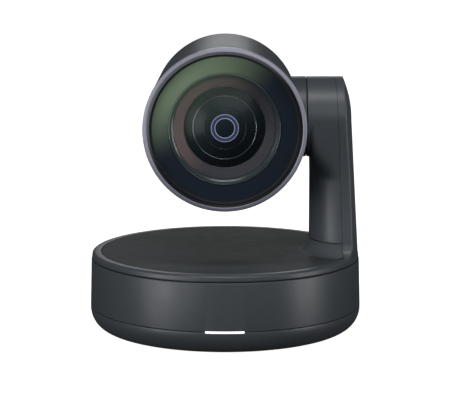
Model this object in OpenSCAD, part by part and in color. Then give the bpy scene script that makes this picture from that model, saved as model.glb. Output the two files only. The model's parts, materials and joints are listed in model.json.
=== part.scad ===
// Pan-tilt-zoom conference camera: a round base, a turntable with a side arm and a drum-shaped head.
// Millimetres, +Z up, origin on the base axis at the foot. The lens looks along -Y and the arm is at +X.

/* [Base] */
// Radius of the base at its widest, just above the bowl
base_r = 76; // [75:0.5:78]
// Radius at which the bowl turns flat underneath
foot_r = 65; // [63:0.5:66]
// Height of the seam between the bowl and the band
bowl_seam_z = 14; // [13:0.25:15]
// Height of the seam between the band and the turning rim
pan_seam_z = 40.8; // [40.5:0.1:41.2]
// Radius of the band at its upper edge
band_top_r = 75; // [74.5:0.1:75.5]
// Thickness of the moulded walls
wall = 2.2; // [1.8:0.1:2.4]
// Height of the bowl's flat underside above the table
underside_z = 1; // [0.8:0.1:1.4]

/* [Turntable] */
// Height of the turntable's flat top
panel_z = 44.5; // [44.2:0.1:45]
// Radius of the rim's upper corner
rim_r = 74.1; // [73.8:0.1:74.4]
// Radius of the disc panel inside the rim
panel_r = 69.5; // [69:0.1:69.6]

/* [Arm] */
// Radius of the tilt hub on the head and on the arm
hub_r = 22.4; // [21.5:0.1:23]
// Distance of the seam between hub and arm from the middle of the camera
hub_seam_x = 45.1; // [44.8:0.1:46]
// Distance of the column's face from the middle of the camera
column_x = 47; // [46.5:0.1:48]
// Half of the arm's width at its root
root_half_w = 23.8; // [22.5:0.1:25]
// Height at which the column cover meets its root collar
collar_z = 52; // [50:0.5:54]

/* [Head] */
// Height of the tilt axis and of the optical axis
tilt_z = 120; // [119:0.5:123]
// Distance from the tilt axis to the front of the bezel
head_front = 60; // [59:0.5:61]
// Distance from the tilt axis to the back of the head
head_back = 62; // [60:0.5:63]
// Outer radius of the front bezel
bezel_r = 43.8; // [43:0.1:44.2]
// Radius of the drum at its back end
back_r = 41.4; // [41:0.1:42]
// Radius of the cover glass
glass_r = 38.9; // [38:0.1:39]
// Radius of the clear window in the cover glass
window_r = 29.5; // [28:0.5:30]

/* [Drives] */
// Module of the pan gears
pan_module = 0.8; // [0.7:0.1:0.8]
// Teeth on the pan ring gear, which are a multiple of eight
ring_teeth = 72; // [72:8:72]
// Teeth on the pan pinion
pinion_teeth = 14; // [12:2:14]
// Radius of the belt pulley on the tilt shaft
tilt_pulley_r = 11.1; // [10:0.1:11.5]
// How many times smaller the tilt motor's pulley is
belt_ratio = 3; // [2.5:0.5:3]
// Height of the tilt motor
tilt_motor_z = 80; // [78:1:82]
// Thickness of the toothed belt
belt_t = 1.1; // [0.8:0.1:1.2]

/* [Optics] */
// Travel of the zoom group
zoom_travel = 12; // [8:1:12]
// Travel of the focus group
focus_travel = 5; // [3:0.5:5]
// Radius of the moving lens elements
group_r = 15; // [13:0.5:15]
// Radius of the guide rods
rod_r = 1.25; // [1:0.05:1.4]
// Radius of the lead screws
screw_r = 1.5; // [1.2:0.1:1.5]

/* [Connectors] */
// Width of the flat connector panel
port_w = 68; // [64:1:68]
// Height of the recess above the connector panel's lower shelf
port_h = 16.5; // [15:0.5:17]
// Diameter of the pairing button
button_d = 6; // [5:0.5:7]
// Radius of the tripod socket's threaded wall
tripod_r = 2.6; // [2.5:0.05:2.7]

/* [Hidden] */

$fn = 96;
eps = 0.02;
fit = 0.02;
running = 0.06;

shell_grey = "#7d808c";
bezel_lilac = "#8a8ca0";
gap_black = "#1b1c20";
steel = "#a9adb3";
board_green = "#1f5a3a";

seam = 0.3;
bowl_rx = base_r - foot_r;
bowl_rz = bowl_seam_z - seam / 2 - 0.8 - underside_z;
floor_z = underside_z + wall;
lip_r = base_r - wall - 0.2;
lip_h = 3;

post_ring_r = 46;
post_angles = [45, 135, 225, 315];
post_r = 3.5;
chassis_z = 30;
chassis_t = 2;
screw_shank_r = 1.25;
screw_head_r = 2.7;
screw_head_h = 1.6;

led_half_w = 10.5;
led_h = 1.1;

port_y = 65;
port_low_z = 17.4;
board_z = 15;
board_t = 1.6;
socket_y = port_y + 0.5;
mouth_depth = 4.6;
usb_x = 0;
jack_x = -14;
control_x = 14.5;
slot_x = -26.5;
button_x = 26.5;
socket_z = 23.6;

gear_z = 33.2;
gear_h = 4.2;
ring_pitch_r = pan_module * ring_teeth / 2;
pinion_pitch_r = pan_module * pinion_teeth / 2;
pinion_x = -(ring_pitch_r + pinion_pitch_r + 0.05);
race_r = 18.5;
ball_r = 1.5;
race_z = 34.9;
race_h = 5;
plate_z = 38.6;
plate_t = 2.6;
panel_t = 1.4;
panel_screw_r = 50;
panel_screw_angles = [60, 120, 180, 240, 300];

arm_low_r = 74.6;
arm_high_r = 70.4;
arm_high_z = 119;
arm_top_z = tilt_z + hub_r;
arm_wall = 2;
seam_low_x = 65.8;
seam_high_x = 61;
waist_half_w = hub_r - 0.8;
cable_x = 63.5;
cable_y = 16.9;
cable_r = 1.2;
waist_z = 88;
frame_x = 57;
frame_t = 2.5;
frame_half_w = 14.8;
foot_z = plate_z + plate_t + fit;
shaft_r = 6;
bearing_r = 9;
pulley_x0 = 50.9;
pulley_x1 = 56.2;
motor_pulley_r = tilt_pulley_r / belt_ratio;

barrel_front_y = -head_front + 6.2;
cap_y = 50;
barrel_front_r = bezel_r - 0.2;
cap_seam_r = back_r + 0.35;
cap_round = 7;
head_wall = 2;

housing_r = 26;
housing_wall = 1.8;
housing_y0 = -44;
zoom_y = -36;
carrier_length = 6;
iris_y = zoom_y + carrier_length + zoom_travel + 6;
focus_y = 4;
housing_y1 = focus_y + carrier_length + focus_travel + 13;
rod_offset = 20;
screw_offset = 19.5;
zoom_angle = 20;
focus_angle = 200;
element_r = 21.8;
post_angles_head = [60, 180, 300];
head_post_r = 33;

// Points along an elliptical arc
function arc(cx, cy, rx, ry, a0, a1, n) =
    [for (i = [0:n]) let (a = a0 + (a1 - a0) * i / n) [cx + rx * cos(a), cy + ry * sin(a)]];

// Outline of a spur gear with straight-flanked teeth; a tooth points along +X
function gear_outline(m, n) =
    let (root = m * n / 2 - 1.25 * m, tip = m * n / 2 + m, pitch = 360 / n)
    [for (i = [0:n - 1]) for (p = [[root, -0.33], [tip, -0.08], [tip, 0.08], [root, 0.33]])
        p[0] * [cos((i + p[1]) * pitch), sin((i + p[1]) * pitch)]];

// Radius of the band's outside at a height
function band_radius(z) = base_r - (base_r - band_top_r) * (z - bowl_seam_z) / (pan_seam_z - bowl_seam_z);

module pipe(r_out, r_in, h) {
    difference() {
        cylinder(r = r_out, h = h);
        translate([0, 0, -1]) cylinder(r = r_in, h = h + 2);
    }
}

// A child built along +Z is turned to lie along +X or +Y
module along_x(x, y, z) {
    translate([x, y, z]) rotate([0, 90, 0]) children();
}

module along_y(x, y, z) {
    translate([x, y, z]) rotate([-90, 0, 0]) children();
}

// A profile of radius and Y is turned about the optical axis
module turn_optical() {
    translate([0, 0, tilt_z]) rotate([-90, 0, 0]) rotate_extrude() children();
}

module around(radius, angles) {
    for (a = angles) rotate([0, 0, a]) translate([radius, 0, 0]) children();
}

module cap_screw(length) {
    cylinder(r = screw_shank_r, h = length, $fn = 24);
    translate([0, 0, -screw_head_h]) difference() {
        cylinder(r = screw_head_r, h = screw_head_h + eps, $fn = 32);
        translate([0, 0, -eps]) cylinder(r = 1.3, h = 1, $fn = 6);
    }
}

// ---- Base ----

module base_bowl() {
    color(shell_grey) difference() {
        union() {
            rotate_extrude($fn = 180) polygon(concat(
                [[0, underside_z]],
                arc(foot_r, underside_z + bowl_rz, bowl_rx, bowl_rz, -90, 0, 12),
                [[base_r, bowl_seam_z - seam / 2], [lip_r, bowl_seam_z - seam / 2],
                 [lip_r, bowl_seam_z + lip_h], [lip_r - 1.3, bowl_seam_z + lip_h]],
                arc(foot_r, underside_z + bowl_rz, bowl_rx - wall - 1.5, bowl_rz - wall, 0, -90, 12),
                [[0, floor_z]]));
            around(post_ring_r, post_angles) translate([0, 0, floor_z - eps])
                cylinder(r = post_r, h = chassis_z - floor_z, $fn = 48);
            translate([0, 0, floor_z - eps]) cylinder(r = 7.4, h = 6);
            for (p = [[-30, 20], [30, 20], [-12, 52], [12, 52]])
                translate([p[0], p[1], floor_z - eps]) cylinder(r = 2.2, h = board_z - floor_z, $fn = 32);
        }
        translate([0, 0, underside_z - 1]) pipe(61.6, 53.9, 2);
        translate([0, 0, underside_z - 1]) cylinder(r = 5 + fit, h = 12);
        translate([0, 0, underside_z - 1]) cylinder(r = 6.5 + fit, h = 2.2);
        around(post_ring_r, post_angles) translate([0, 0, -1]) {
            cylinder(r = screw_shank_r + 0.1, h = chassis_z + 2, $fn = 32);
            cylinder(r = screw_head_r + 0.3, h = underside_z + 1 + screw_head_h + 0.3, $fn = 32);
        }
        translate([-led_half_w - 0.1, -base_r - 1, bowl_seam_z - led_h / 2 - 0.05])
            cube([2 * led_half_w + 0.2, 20, led_h + 20]);
        translate([-port_w / 2 - 2, 40, bowl_seam_z + 0.6]) cube([port_w + 4, 50, 20]);
    }
}

module base_band() {
    low = bowl_seam_z + seam / 2;
    high = pan_seam_z - seam;
    color(shell_grey) difference() {
        rotate_extrude($fn = 180) polygon([
            [base_r, low], [band_top_r + 0.3, high - 0.8], [band_top_r - 0.3, high],
            [72.6, high], [72.6, high + 1.2], [71.4, high + 1.2], [71.4, high - wall],
            [band_top_r - wall, high - wall - 1.5], [base_r - wall, low]]);
        translate([-led_half_w - 0.1, -base_r - 1, bowl_seam_z - led_h / 2 - 1])
            cube([2 * led_half_w + 0.2, 20, led_h + 1.05]);
        translate([-port_w / 2 - 1.85, 40, port_low_z - 1.85]) cube([port_w + 3.7, 50, port_h + 3.7]);
    }
}

module foot_ring() {
    color(gap_black) pipe(61.5, 54, underside_z + 1 - fit);
}

module tripod_insert() {
    color("#b89b55") difference() {
        translate([0, 0, underside_z]) union() {
            cylinder(r = 5, h = 8);
            cylinder(r = 6.5, h = 1.2);
        }
        translate([0, 0, underside_z - 1]) cylinder(r = tripod_r, h = 8.5);
    }
}

module ballast_plate() {
    color(steel) difference() {
        translate([0, 0, floor_z + fit]) cylinder(r = 56, h = 4);
        translate([0, 0, floor_z - 1]) cylinder(r = 8, h = 7);
        around(post_ring_r, post_angles) cylinder(r = post_r + 0.8, h = 20, $fn = 48);
        for (p = [[-30, 20], [30, 20], [-12, 52], [12, 52]])
            translate([p[0], p[1], 0]) cylinder(r = 3, h = 20, $fn = 32);
    }
}

module light_bar() {
    color("white") intersection() {
        translate([0, 0, bowl_seam_z - led_h / 2]) pipe(base_r - 0.05, 69, led_h);
        translate([-led_half_w, -base_r, 0]) cube([2 * led_half_w, 20, 40]);
    }
}

module led_board() {
    color(board_green) translate([-12, -67.6, 9]) cube([24, 1.2, 9]);
    color("white") for (x = [-8, -3, 2, 7]) translate([x - 0.5, -68.3, 13]) cube([2, 0.75, 2]);
}

// The inside of the band's surface, slightly back from it
module band_core() {
    rotate_extrude($fn = 180) polygon([
        [0, 0], [band_radius(0) - 0.15, 0], [band_radius(60) - 0.15, 60], [0, 60]]);
}

module port_panel() {
    color(gap_black) difference() {
        intersection() {
            translate([-port_w / 2 - 1.8, port_y - 1.8, port_low_z - 1.8])
                cube([port_w + 3.6, 20, port_h + 3.6]);
            band_core();
        }
        translate([-port_w / 2, port_y, port_low_z]) cube([port_w, 20, port_h]);
        translate([usb_x - 6.1, 50, socket_z - 5.6]) cube([12.2, 20, 11.2]);
        along_y(jack_x, 50, socket_z) cylinder(r = 5.1, h = 20);
        along_y(control_x, 50, socket_z) cylinder(r = 6.3, h = 20);
        translate([slot_x - 3.5, 50, socket_z - 1.6]) cube([7, 20, 3.2]);
        along_y(button_x, 50, socket_z) cylinder(r = button_d / 2 + 0.15, h = 20);
    }
}

module usb_socket() {
    color(steel) difference() {
        translate([usb_x - 6, 52, socket_z - 5.5]) cube([12, socket_y - 52, 11]);
        translate([usb_x - 4.3, socket_y - 9, socket_z - 3.9]) cube([8.6, 10, 7.8]);
    }
    color("white") translate([usb_x - 2.8, socket_y - 9 - eps, socket_z - 1.6])
        cube([5.6, 9 - mouth_depth, 3.2]);
}

module dc_jack() {
    color(gap_black) difference() {
        union() {
            along_y(jack_x, 53, socket_z) cylinder(r = 5, h = socket_y - 53);
            translate([jack_x - 4.5, 53, board_z + board_t + fit]) cube([9, 9, 8]);
        }
        along_y(jack_x, socket_y - 9, socket_z) cylinder(r = 3.4, h = 10);
    }
    color(steel) along_y(jack_x, socket_y - 9 - eps, socket_z)
        cylinder(r = 1.05, h = 9 - mouth_depth, $fn = 32);
}

module control_socket() {
    color(gap_black) difference() {
        union() {
            along_y(control_x, 53, socket_z) cylinder(r = 6.2, h = socket_y - 53);
            translate([control_x - 5.5, 53, board_z + board_t + fit]) cube([11, 9, 6]);
        }
        along_y(control_x, socket_y - 9, socket_z) cylinder(r = 4.8, h = 10);
    }
    color("#b89b55") for (a = [0:45:315])
        along_y(control_x + 2.6 * cos(a), socket_y - 9 - eps, socket_z + 2.6 * sin(a))
            cylinder(r = 0.4, h = 9 - mouth_depth, $fn = 16);
}

module security_plate() {
    color(steel) difference() {
        translate([slot_x - 5, port_y - 3.3, socket_z - 5]) cube([10, 1.4, 10]);
        translate([slot_x - 3.5, 50, socket_z - 1.6]) cube([7, 20, 3.2]);
    }
}

module main_board() {
    color(board_green) difference() {
        translate([0, 0, board_z]) intersection() {
            cylinder(r = 61, h = board_t);
            translate([-60, 14, 0]) cube([120, 60, board_t]);
        }
        around(post_ring_r, post_angles) cylinder(r = post_r + 1, h = 40, $fn = 48);
    }
    color(gap_black) for (p = [[-40, 18], [-46, 28], [25, 40], [34, 16]])
        translate([p[0], p[1], board_z + board_t - eps]) cube([8, 8, 1.4]);
}

module heat_spreader() {
    low = board_z + board_t + fit;
    color(steel) {
        translate([-18, 18, low]) cube([36, 30, 1.6]);
        for (i = [0:8]) translate([-18 + i * 4.35, 18, low + 1.5]) cube([1.2, 30, 5]);
    }
}

module base_chassis() {
    color(steel) difference() {
        union() {
            translate([0, 0, chassis_z]) cylinder(r = 62, h = chassis_t);
            translate([0, 0, chassis_z]) cylinder(r = 14, h = 8.2);
            translate([0, 0, chassis_z]) cylinder(r = 16, h = chassis_t + 0.4);
        }
        translate([0, 0, chassis_z - 1]) cylinder(r = 9, h = 12);
        translate([pinion_x, 0, chassis_z - 1]) cylinder(r = 8, h = 4);
        around(post_ring_r, post_angles) translate([0, 0, chassis_z - 1])
            cylinder(r = screw_shank_r + 0.1, h = 4, $fn = 32);
        for (a = [20, 160, 200, 340]) rotate([0, 0, a])
            translate([34, -9, chassis_z - 1]) cube([18, 18, 4]);
    }
}

module pan_motor() {
    color(gap_black) difference() {
        union() {
            translate([pinion_x, 0, 12]) cylinder(r = 12.5, h = 16);
            translate([pinion_x, 0, 27.9]) cylinder(r = 12.5, h = chassis_z - 27.9 - fit);
            translate([pinion_x, 0, 28]) cylinder(r = 4, h = 3.4);
        }
        translate([pinion_x, 0, 20]) cylinder(r = screw_r + running + 0.02, h = 20);
    }
}

module pan_bearing_inner() {
    color(steel) rotate_extrude() difference() {
        translate([14 + fit, race_z - race_h / 2]) square([race_r - 0.9 - 14 - fit, race_h]);
        translate([race_r, race_z]) circle(r = ball_r + running, $fn = 48);
    }
}

module pan_bearing_balls() {
    color("#c9ccd1") for (a = [0:30:330]) rotate([0, 0, a]) translate([race_r, 0, race_z])
        sphere(r = ball_r, $fn = 32);
}

module base_screws() {
    color(steel) around(post_ring_r, post_angles) {
        translate([0, 0, underside_z + 0.15 + screw_head_h]) cap_screw(9);
        translate([0, 0, chassis_z + chassis_t + fit]) mirror([0, 0, 1]) cap_screw(10);
    }
}

module button_switch() {
    color(gap_black) {
        translate([button_x - 3.5, 52, board_z + board_t + fit]) cube([7, 6, socket_z - board_z + 1]);
        along_y(button_x, 58 - eps, socket_z) cylinder(r = 1.4, h = 0.8, $fn = 32);
    }
}

module pairing_button() {
    color("#50535c") {
        along_y(button_x, port_y - 3.6, socket_z) cylinder(r = button_d / 2, h = 4.6);
        along_y(button_x, port_y - 3.6, socket_z) cylinder(r = button_d / 2 + 1, h = 0.9);
        along_y(button_x, 60.2, socket_z) cylinder(r = 1.4, h = 2, $fn = 32);
    }
}

module pan_pinion() {
    color("#d8d2be") translate([pinion_x, 0, gear_z - 0.3])
        linear_extrude(gear_h + 0.6) polygon(gear_outline(pan_module, pinion_teeth));
    color(steel) translate([pinion_x, 0, 22]) cylinder(r = screw_r, h = 16, $fn = 48);
}

// ---- Turntable ----

// The arm seen along X, from a round top down to the rim; inset draws it smaller all round
module arm_outline(inset) {
    translate([0, tilt_z]) circle(r = hub_r - inset, $fn = 120);
    polygon([
        [-hub_r + inset, tilt_z], [-waist_half_w + inset, waist_z], [-root_half_w + inset, panel_z - 3],
        [root_half_w - inset, panel_z - 3], [waist_half_w - inset, waist_z], [hub_r - inset, tilt_z]]);
}

module arm_prism(inset, x0, x1) {
    translate([x0, 0, 0]) rotate([90, 0, 90]) linear_extrude(x1 - x0) arm_outline(inset);
}

// The arm's outer face is part of a tall cone about the pan axis, crowned at its top
module arm_cone(inset) {
    crown = 7;
    rotate_extrude($fn = 180) polygon(concat(
        [[30, panel_z - 3.3], [arm_low_r - inset, panel_z - 3.3], [arm_high_r - inset, arm_high_z]],
        arc(arm_high_r - inset - crown, arm_high_z, crown, arm_top_z - arm_high_z, 15, 75, 8),
        [[30, arm_top_z]]));
}

// The region outside the slanting seam between the column cover and the outer shell
module outside_seam(shift) {
    rotate([90, 0, 0]) linear_extrude(80, center = true) polygon([
        [seam_low_x + shift, 30], [110, 30], [110, 160], [seam_high_x + shift - 0.9, 160]]);
}

// Plan of the column: a half circle facing the head, open towards the outer shell
module column_plan(inset) {
    r = waist_half_w;
    translate([column_x + r, 0]) circle(r = r - inset, $fn = 120);
    translate([column_x + r, -r + inset]) square([30, 2 * (r - inset)]);
}

module yoke_shell() {
    low = pan_seam_z + seam;
    color(shell_grey) {
        difference() {
            rotate_extrude($fn = 180) polygon([
                [band_top_r + 0.05, low], [rim_r + 0.55, panel_z - 1.2], [rim_r - 0.1, panel_z - 0.25],
                [rim_r - 0.9, panel_z], [panel_r + 0.4, panel_z], [panel_r + 0.4, 43], [64, 43],
                [64, 41.4], [70.6, 41.4], [70.6, 42.6], [73.2, 42.6], [73.2, low]]);
            translate([50, -19.5, 40]) cube([16, 39, 10]);
        }
        difference() {
            intersection() {
                arm_prism(0, 40, 80);
                arm_cone(0);
                outside_seam(0.15);
            }
            intersection() {
                arm_prism(arm_wall, 40, 80);
                arm_cone(arm_wall);
            }
            translate([0, 0, 30]) cylinder(r = 73.2, h = 12.6);
        }
    }
}

module disc_panel() {
    color(shell_grey) difference() {
        union() {
            translate([0, 0, panel_z - panel_t]) cylinder(r = panel_r, h = panel_t, $fn = 180);
            around(panel_screw_r, panel_screw_angles) translate([0, 0, 41.3])
                cylinder(r = 3, h = panel_z - panel_t - 41.3 + eps, $fn = 48);
        }
        around(panel_screw_r, panel_screw_angles) translate([0, 0, 40])
            cylinder(r = screw_shank_r + 0.1, h = 3.5, $fn = 32);
        translate([-0.4, 0, 40]) linear_extrude(10) column_plan(-0.2);
        arm_prism(-0.3, 65, 80);
    }
}

module turntable_frame() {
    color(steel) difference() {
        union() {
            translate([0, 0, plate_z]) cylinder(r = 69, h = plate_t);
            translate([0, 0, gear_z - 0.2]) cylinder(r = 26, h = plate_z - gear_z + 0.2 + eps);
        }
        translate([0, 0, 20]) cylinder(r = 23 + fit, h = plate_z - 20);
        translate([0, 0, 20]) cylinder(r = 10, h = 40);
        around(panel_screw_r, panel_screw_angles) translate([0, 0, plate_z - 1])
            cylinder(r = screw_shank_r + 0.1, h = 5, $fn = 32);
        translate([cable_x, cable_y, 30]) cylinder(r = cable_r + 0.6, h = 20, $fn = 48);
    }
}

module pan_ring_gear() {
    color("#d8d2be") difference() {
        translate([0, 0, gear_z]) rotate([0, 0, 180 / ring_teeth]) linear_extrude(gear_h)
            polygon(gear_outline(pan_module, ring_teeth));
        translate([0, 0, gear_z - 1]) cylinder(r = 26 + fit, h = gear_h + 2);
    }
}

module pan_bearing_outer() {
    color(steel) rotate_extrude() difference() {
        translate([race_r + 0.9, race_z - 1.9]) square([23 - race_r - 0.9, race_h - 0.6]);
        translate([race_r, race_z]) circle(r = ball_r + running, $fn = 48);
    }
}

// The column and the arm's half of the hub as one block; inset draws it smaller all round
module column_block(inset, low) {
    translate([0, 0, low]) linear_extrude(tilt_z - low) column_plan(inset);
    along_x(hub_seam_x + 0.2 + inset, 0, tilt_z) cylinder(r = hub_r - inset, h = 35, $fn = 120);
}

module column_cover() {
    color(shell_grey) difference() {
        union() {
            difference() {
                column_block(0, collar_z + 0.15);
                outside_seam(-0.15);
                column_block(wall, collar_z - 1);
            }
            for (y = [-9, 9]) along_x(50.8, y, 56) cylinder(r = 3, h = 6.1, $fn = 48);
            along_x(48.5, 0, 98) cylinder(r = 3, h = 8.4, $fn = 48);
        }
        along_x(40, 0, tilt_z) cylinder(r = 8, h = 10);
        for (y = [-9, 9]) along_x(52, y, 56) cylinder(r = screw_shank_r + 0.1, h = 8, $fn = 32);
        along_x(52, 0, 98) cylinder(r = screw_shank_r + 0.1, h = 8, $fn = 32);
    }
}

module root_collar() {
    color(shell_grey) difference() {
        union() {
            translate([0, 0, 43.6]) linear_extrude(collar_z - 43.75) column_plan(0.6);
            translate([0, 0, 43.6]) linear_extrude(panel_z - 43.6 + 0.5) column_plan(0);
        }
        translate([0, 0, 40]) linear_extrude(20) column_plan(wall + 0.3);
        translate([0, 0, 30]) difference() {
            cylinder(r = 90, h = 40);
            translate([0, 0, -1]) cylinder(r = 69.4, h = 42);
        }
        outside_seam(-0.15);
    }
}

module arm_frame() {
    color(steel) difference() {
        union() {
            translate([frame_x, -frame_half_w, foot_z]) cube([frame_t, 2 * frame_half_w, tilt_z - foot_z]);
            along_x(frame_x, 0, tilt_z) cylinder(r = frame_half_w + 0.4, h = frame_t);
            along_x(frame_x, 0, tilt_z) cylinder(r = 13.2, h = 8.3);
            translate([51.5, -12.5, foot_z]) cube([11.5, 25, 2]);
        }
        along_x(frame_x - 1, 0, tilt_z) cylinder(r = bearing_r + fit, h = 12);
        along_x(frame_x - 1, 0, tilt_motor_z) cylinder(r = 5.2, h = 5);
        for (y = [-9, 9]) along_x(50, y, 56) cylinder(r = screw_shank_r + 0.1, h = 12, $fn = 32);
        along_x(50, 0, 98) cylinder(r = screw_shank_r + 0.1, h = 12, $fn = 32);
    }
}

module tilt_motor() {
    color(gap_black) difference() {
        union() {
            along_x(frame_x + frame_t + fit, 0, tilt_motor_z) cylinder(r = 14, h = 7.8);
            along_x(frame_x - 0.4, 0, tilt_motor_z) cylinder(r = 5, h = 4);
        }
        along_x(frame_x - 1, 0, tilt_motor_z) cylinder(r = screw_r + running + 0.02, h = 8);
    }
}

module tilt_bearings() {
    color("#c9ccd1") for (x = [frame_x + 0.1, frame_x + 5]) along_x(x, 0, tilt_z) {
        pipe(bearing_r, bearing_r - 0.9, 3);
        translate([0, 0, 0.2]) pipe(bearing_r - 0.9 + eps, shaft_r + 0.7, 2.6);
        pipe(shaft_r + 0.7 + eps, shaft_r + running, 3);
    }
}

// Loop round the two pulleys: two circles and the band between their tangent points
module belt_outline(grow) {
    d = tilt_z - tilt_motor_z;
    big = tilt_pulley_r + grow;
    small = motor_pulley_r + grow;
    lean = asin((big - small) / d);
    translate([0, tilt_z]) circle(r = big, $fn = 120);
    translate([0, tilt_motor_z]) circle(r = small, $fn = 120);
    polygon([
        [-big * cos(lean), tilt_z - big * sin(lean)], [-small * cos(lean), tilt_motor_z - small * sin(lean)],
        [small * cos(lean), tilt_motor_z - small * sin(lean)], [big * cos(lean), tilt_z - big * sin(lean)]]);
}

module tilt_belt() {
    color(gap_black) translate([pulley_x0 + 1, 0, 0]) rotate([90, 0, 90])
        linear_extrude(pulley_x1 - pulley_x0 - 2) difference() {
            belt_outline(0.15 + belt_t);
            belt_outline(0.15);
        }
}

module arm_cable() {
    color(gap_black) translate([cable_x, cable_y, plate_z - 2.6])
        cylinder(r = cable_r, h = tilt_z + 1.5 - plate_z + 2.6, $fn = 32);
}

module turntable_screws() {
    color(steel) around(panel_screw_r, panel_screw_angles)
        translate([0, 0, plate_z - fit]) cap_screw(4.6);
}

module arm_screws() {
    color(steel) for (p = [[-9, 56], [9, 56], [0, 98]])
        translate([frame_x + frame_t + fit, p[0], p[1]]) rotate([0, -90, 0]) cap_screw(7);
}

module pulley(radius) {
    difference() {
        union() {
            cylinder(r = radius, h = pulley_x1 - pulley_x0, $fn = 120);
            cylinder(r = radius + 1.4, h = 0.8, $fn = 120);
            translate([0, 0, pulley_x1 - pulley_x0 - 0.8]) cylinder(r = radius + 1.4, h = 0.8, $fn = 120);
        }
        children();
    }
}

module tilt_motor_pulley() {
    color("#c9ccd1") {
        along_x(pulley_x0, 0, tilt_motor_z) pulley(motor_pulley_r) translate([0, 0, -1])
            cylinder(r = 0.8, h = 1.6, $fn = 24);
        along_x(pulley_x1 - eps, 0, tilt_motor_z) cylinder(r = screw_r, h = 6.6, $fn = 48);
    }
}

// ---- Head ----

module drum_solid(inset) {
    turn_optical() polygon([
        [0, barrel_front_y], [barrel_front_r - inset, barrel_front_y], [cap_seam_r - inset, cap_y],
        [0, cap_y]]);
}

module barrel_shell() {
    color(shell_grey) difference() {
        drum_solid(0);
        turn_optical() polygon([
            [0, barrel_front_y - 1], [barrel_front_r - head_wall, barrel_front_y - 1],
            [cap_seam_r - head_wall, cap_y + 1], [0, cap_y + 1]]);
        along_x(20, 0, tilt_z) cylinder(r = hub_r - wall - 0.2, h = 40, $fn = 120);
    }
}

module rear_cap() {
    back = head_back;
    r = cap_round;
    color(shell_grey) turn_optical() polygon(concat(
        [[0, back]], arc(back_r - r, back - r, r, r, 90, 0, 10),
        [[cap_seam_r - 0.1, cap_y + seam], [cap_seam_r - 2.1, cap_y + seam],
         [cap_seam_r - 2.1, cap_y - 3], [cap_seam_r - 3.4, cap_y - 3], [back_r - 3.6, back - r]],
        arc(back_r - r - 0.6, back - r, r - 3, r - wall, 0, 90, 8),
        [[0, back - wall]]));
}

module hub_neck() {
    color(shell_grey) difference() {
        along_x(30, 0, tilt_z) difference() {
            cylinder(r = hub_r, h = hub_seam_x - 0.2 - 30, $fn = 120);
            translate([0, 0, -1]) cylinder(r = hub_r - wall, h = hub_seam_x - 30 - 2 + 0.6, $fn = 120);
            cylinder(r = shaft_r + 0.1, h = 20);
        }
        drum_solid(-0.05);
    }
}

module front_bezel() {
    f = -head_front;
    color(bezel_lilac) turn_optical() polygon([
        [bezel_r - 0.15, barrel_front_y - seam], [bezel_r, f + 5], [bezel_r, f + 1.5],
        [bezel_r - 0.5, f + 0.5], [bezel_r - 1.5, f], [bezel_r - 2, f + 0.05], [bezel_r - 3.6, f + 2.3],
        [glass_r + 0.15, f + 2.9], [glass_r + 0.15, f + 4.9], [glass_r - 1, f + 4.9], [glass_r - 1, f + 6],
        [41.2, f + 6], [41.2, f + 10], [40, f + 10], [40, f + 7.2], [glass_r - 2.4, f + 7.2],
        [glass_r - 2.4, f + 11], [41.4, f + 11], [41.4, barrel_front_y - seam]]);
}

module front_glass() {
    color("#2a3440", 0.35) turn_optical() translate([0, -head_front + 3]) square([glass_r, 1.5]);
}

module window_mask() {
    color(gap_black) turn_optical() translate([window_r, -head_front + 4.55])
        square([glass_r - window_r, 0.3]);
}

module lens_baffle() {
    f = -head_front;
    color("#5a4f55") turn_optical() polygon([
        [33, f + 5], [33, f + 6], [29.4, f + 6], [29.4, f + 12], [housing_r + 0.6, f + 13.8],
        [22.2, f + 13.8], [22.2, f + 12.6], [27, f + 10.5], [28, f + 5]]);
}

module head_frame() {
    color(steel) difference() {
        union() {
            turn_optical() translate([housing_r + fit, -7]) square([39 - housing_r, 14]);
            along_x(29, 0, tilt_z) cylinder(r = 10, h = 12.5);
            for (a = post_angles_head) along_y(head_post_r * cos(a), 6.9, tilt_z + head_post_r * sin(a))
                cylinder(r = 2, h = 34, $fn = 32);
        }
        along_x(34, 0, tilt_z) cylinder(r = shaft_r + fit, h = 20);
    }
}

module tilt_shaft() {
    color("#c9ccd1") difference() {
        along_x(34.1, 0, tilt_z) cylinder(r = shaft_r, h = frame_x + 8.3 - 34.1);
        along_x(33, 0, tilt_z) cylinder(r = 4, h = 40);
    }
}

module tilt_pulley() {
    color("#c9ccd1") along_x(pulley_x0, 0, tilt_z) pulley(tilt_pulley_r) translate([0, 0, -1])
        cylinder(r = shaft_r + fit, h = 10);
}

// Where a part sits round the optical axis, at an angle and a distance from it
module beside_axis(angle, distance, y) {
    along_y(distance * cos(angle), y, tilt_z + distance * sin(angle)) children();
}

module lens_housing() {
    color("#33353b") difference() {
        turn_optical() {
            translate([housing_r - housing_wall, housing_y0]) square([housing_wall, housing_y1 - housing_y0]);
            translate([element_r + 0.1, housing_y0 - 1.9]) square([housing_r - element_r + 3.5, 2]);
            translate([7, housing_y1 - 2]) square([housing_r - 7.5, 2]);
        }
        for (a = [zoom_angle, focus_angle]) beside_axis(a, screw_offset, housing_y1 - 5)
            cylinder(r = screw_r + 0.25, h = 10, $fn = 48);
    }
}

// A lens element about the optical axis, bulging by front and back at its middle
module lens(radius, y, edge, front, back) {
    turn_optical() polygon(concat(
        [for (i = [0:8]) let (s = i / 8) [radius * s, y - front * (1 - s * s)]],
        [for (i = [8:-1:0]) let (s = i / 8) [radius * s, y + edge + back * (1 - s * s)]]));
}

module front_element() {
    color("#39505a", 0.4) lens(element_r, -46.4, 2.2, 4.4, 0.8);
}

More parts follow.
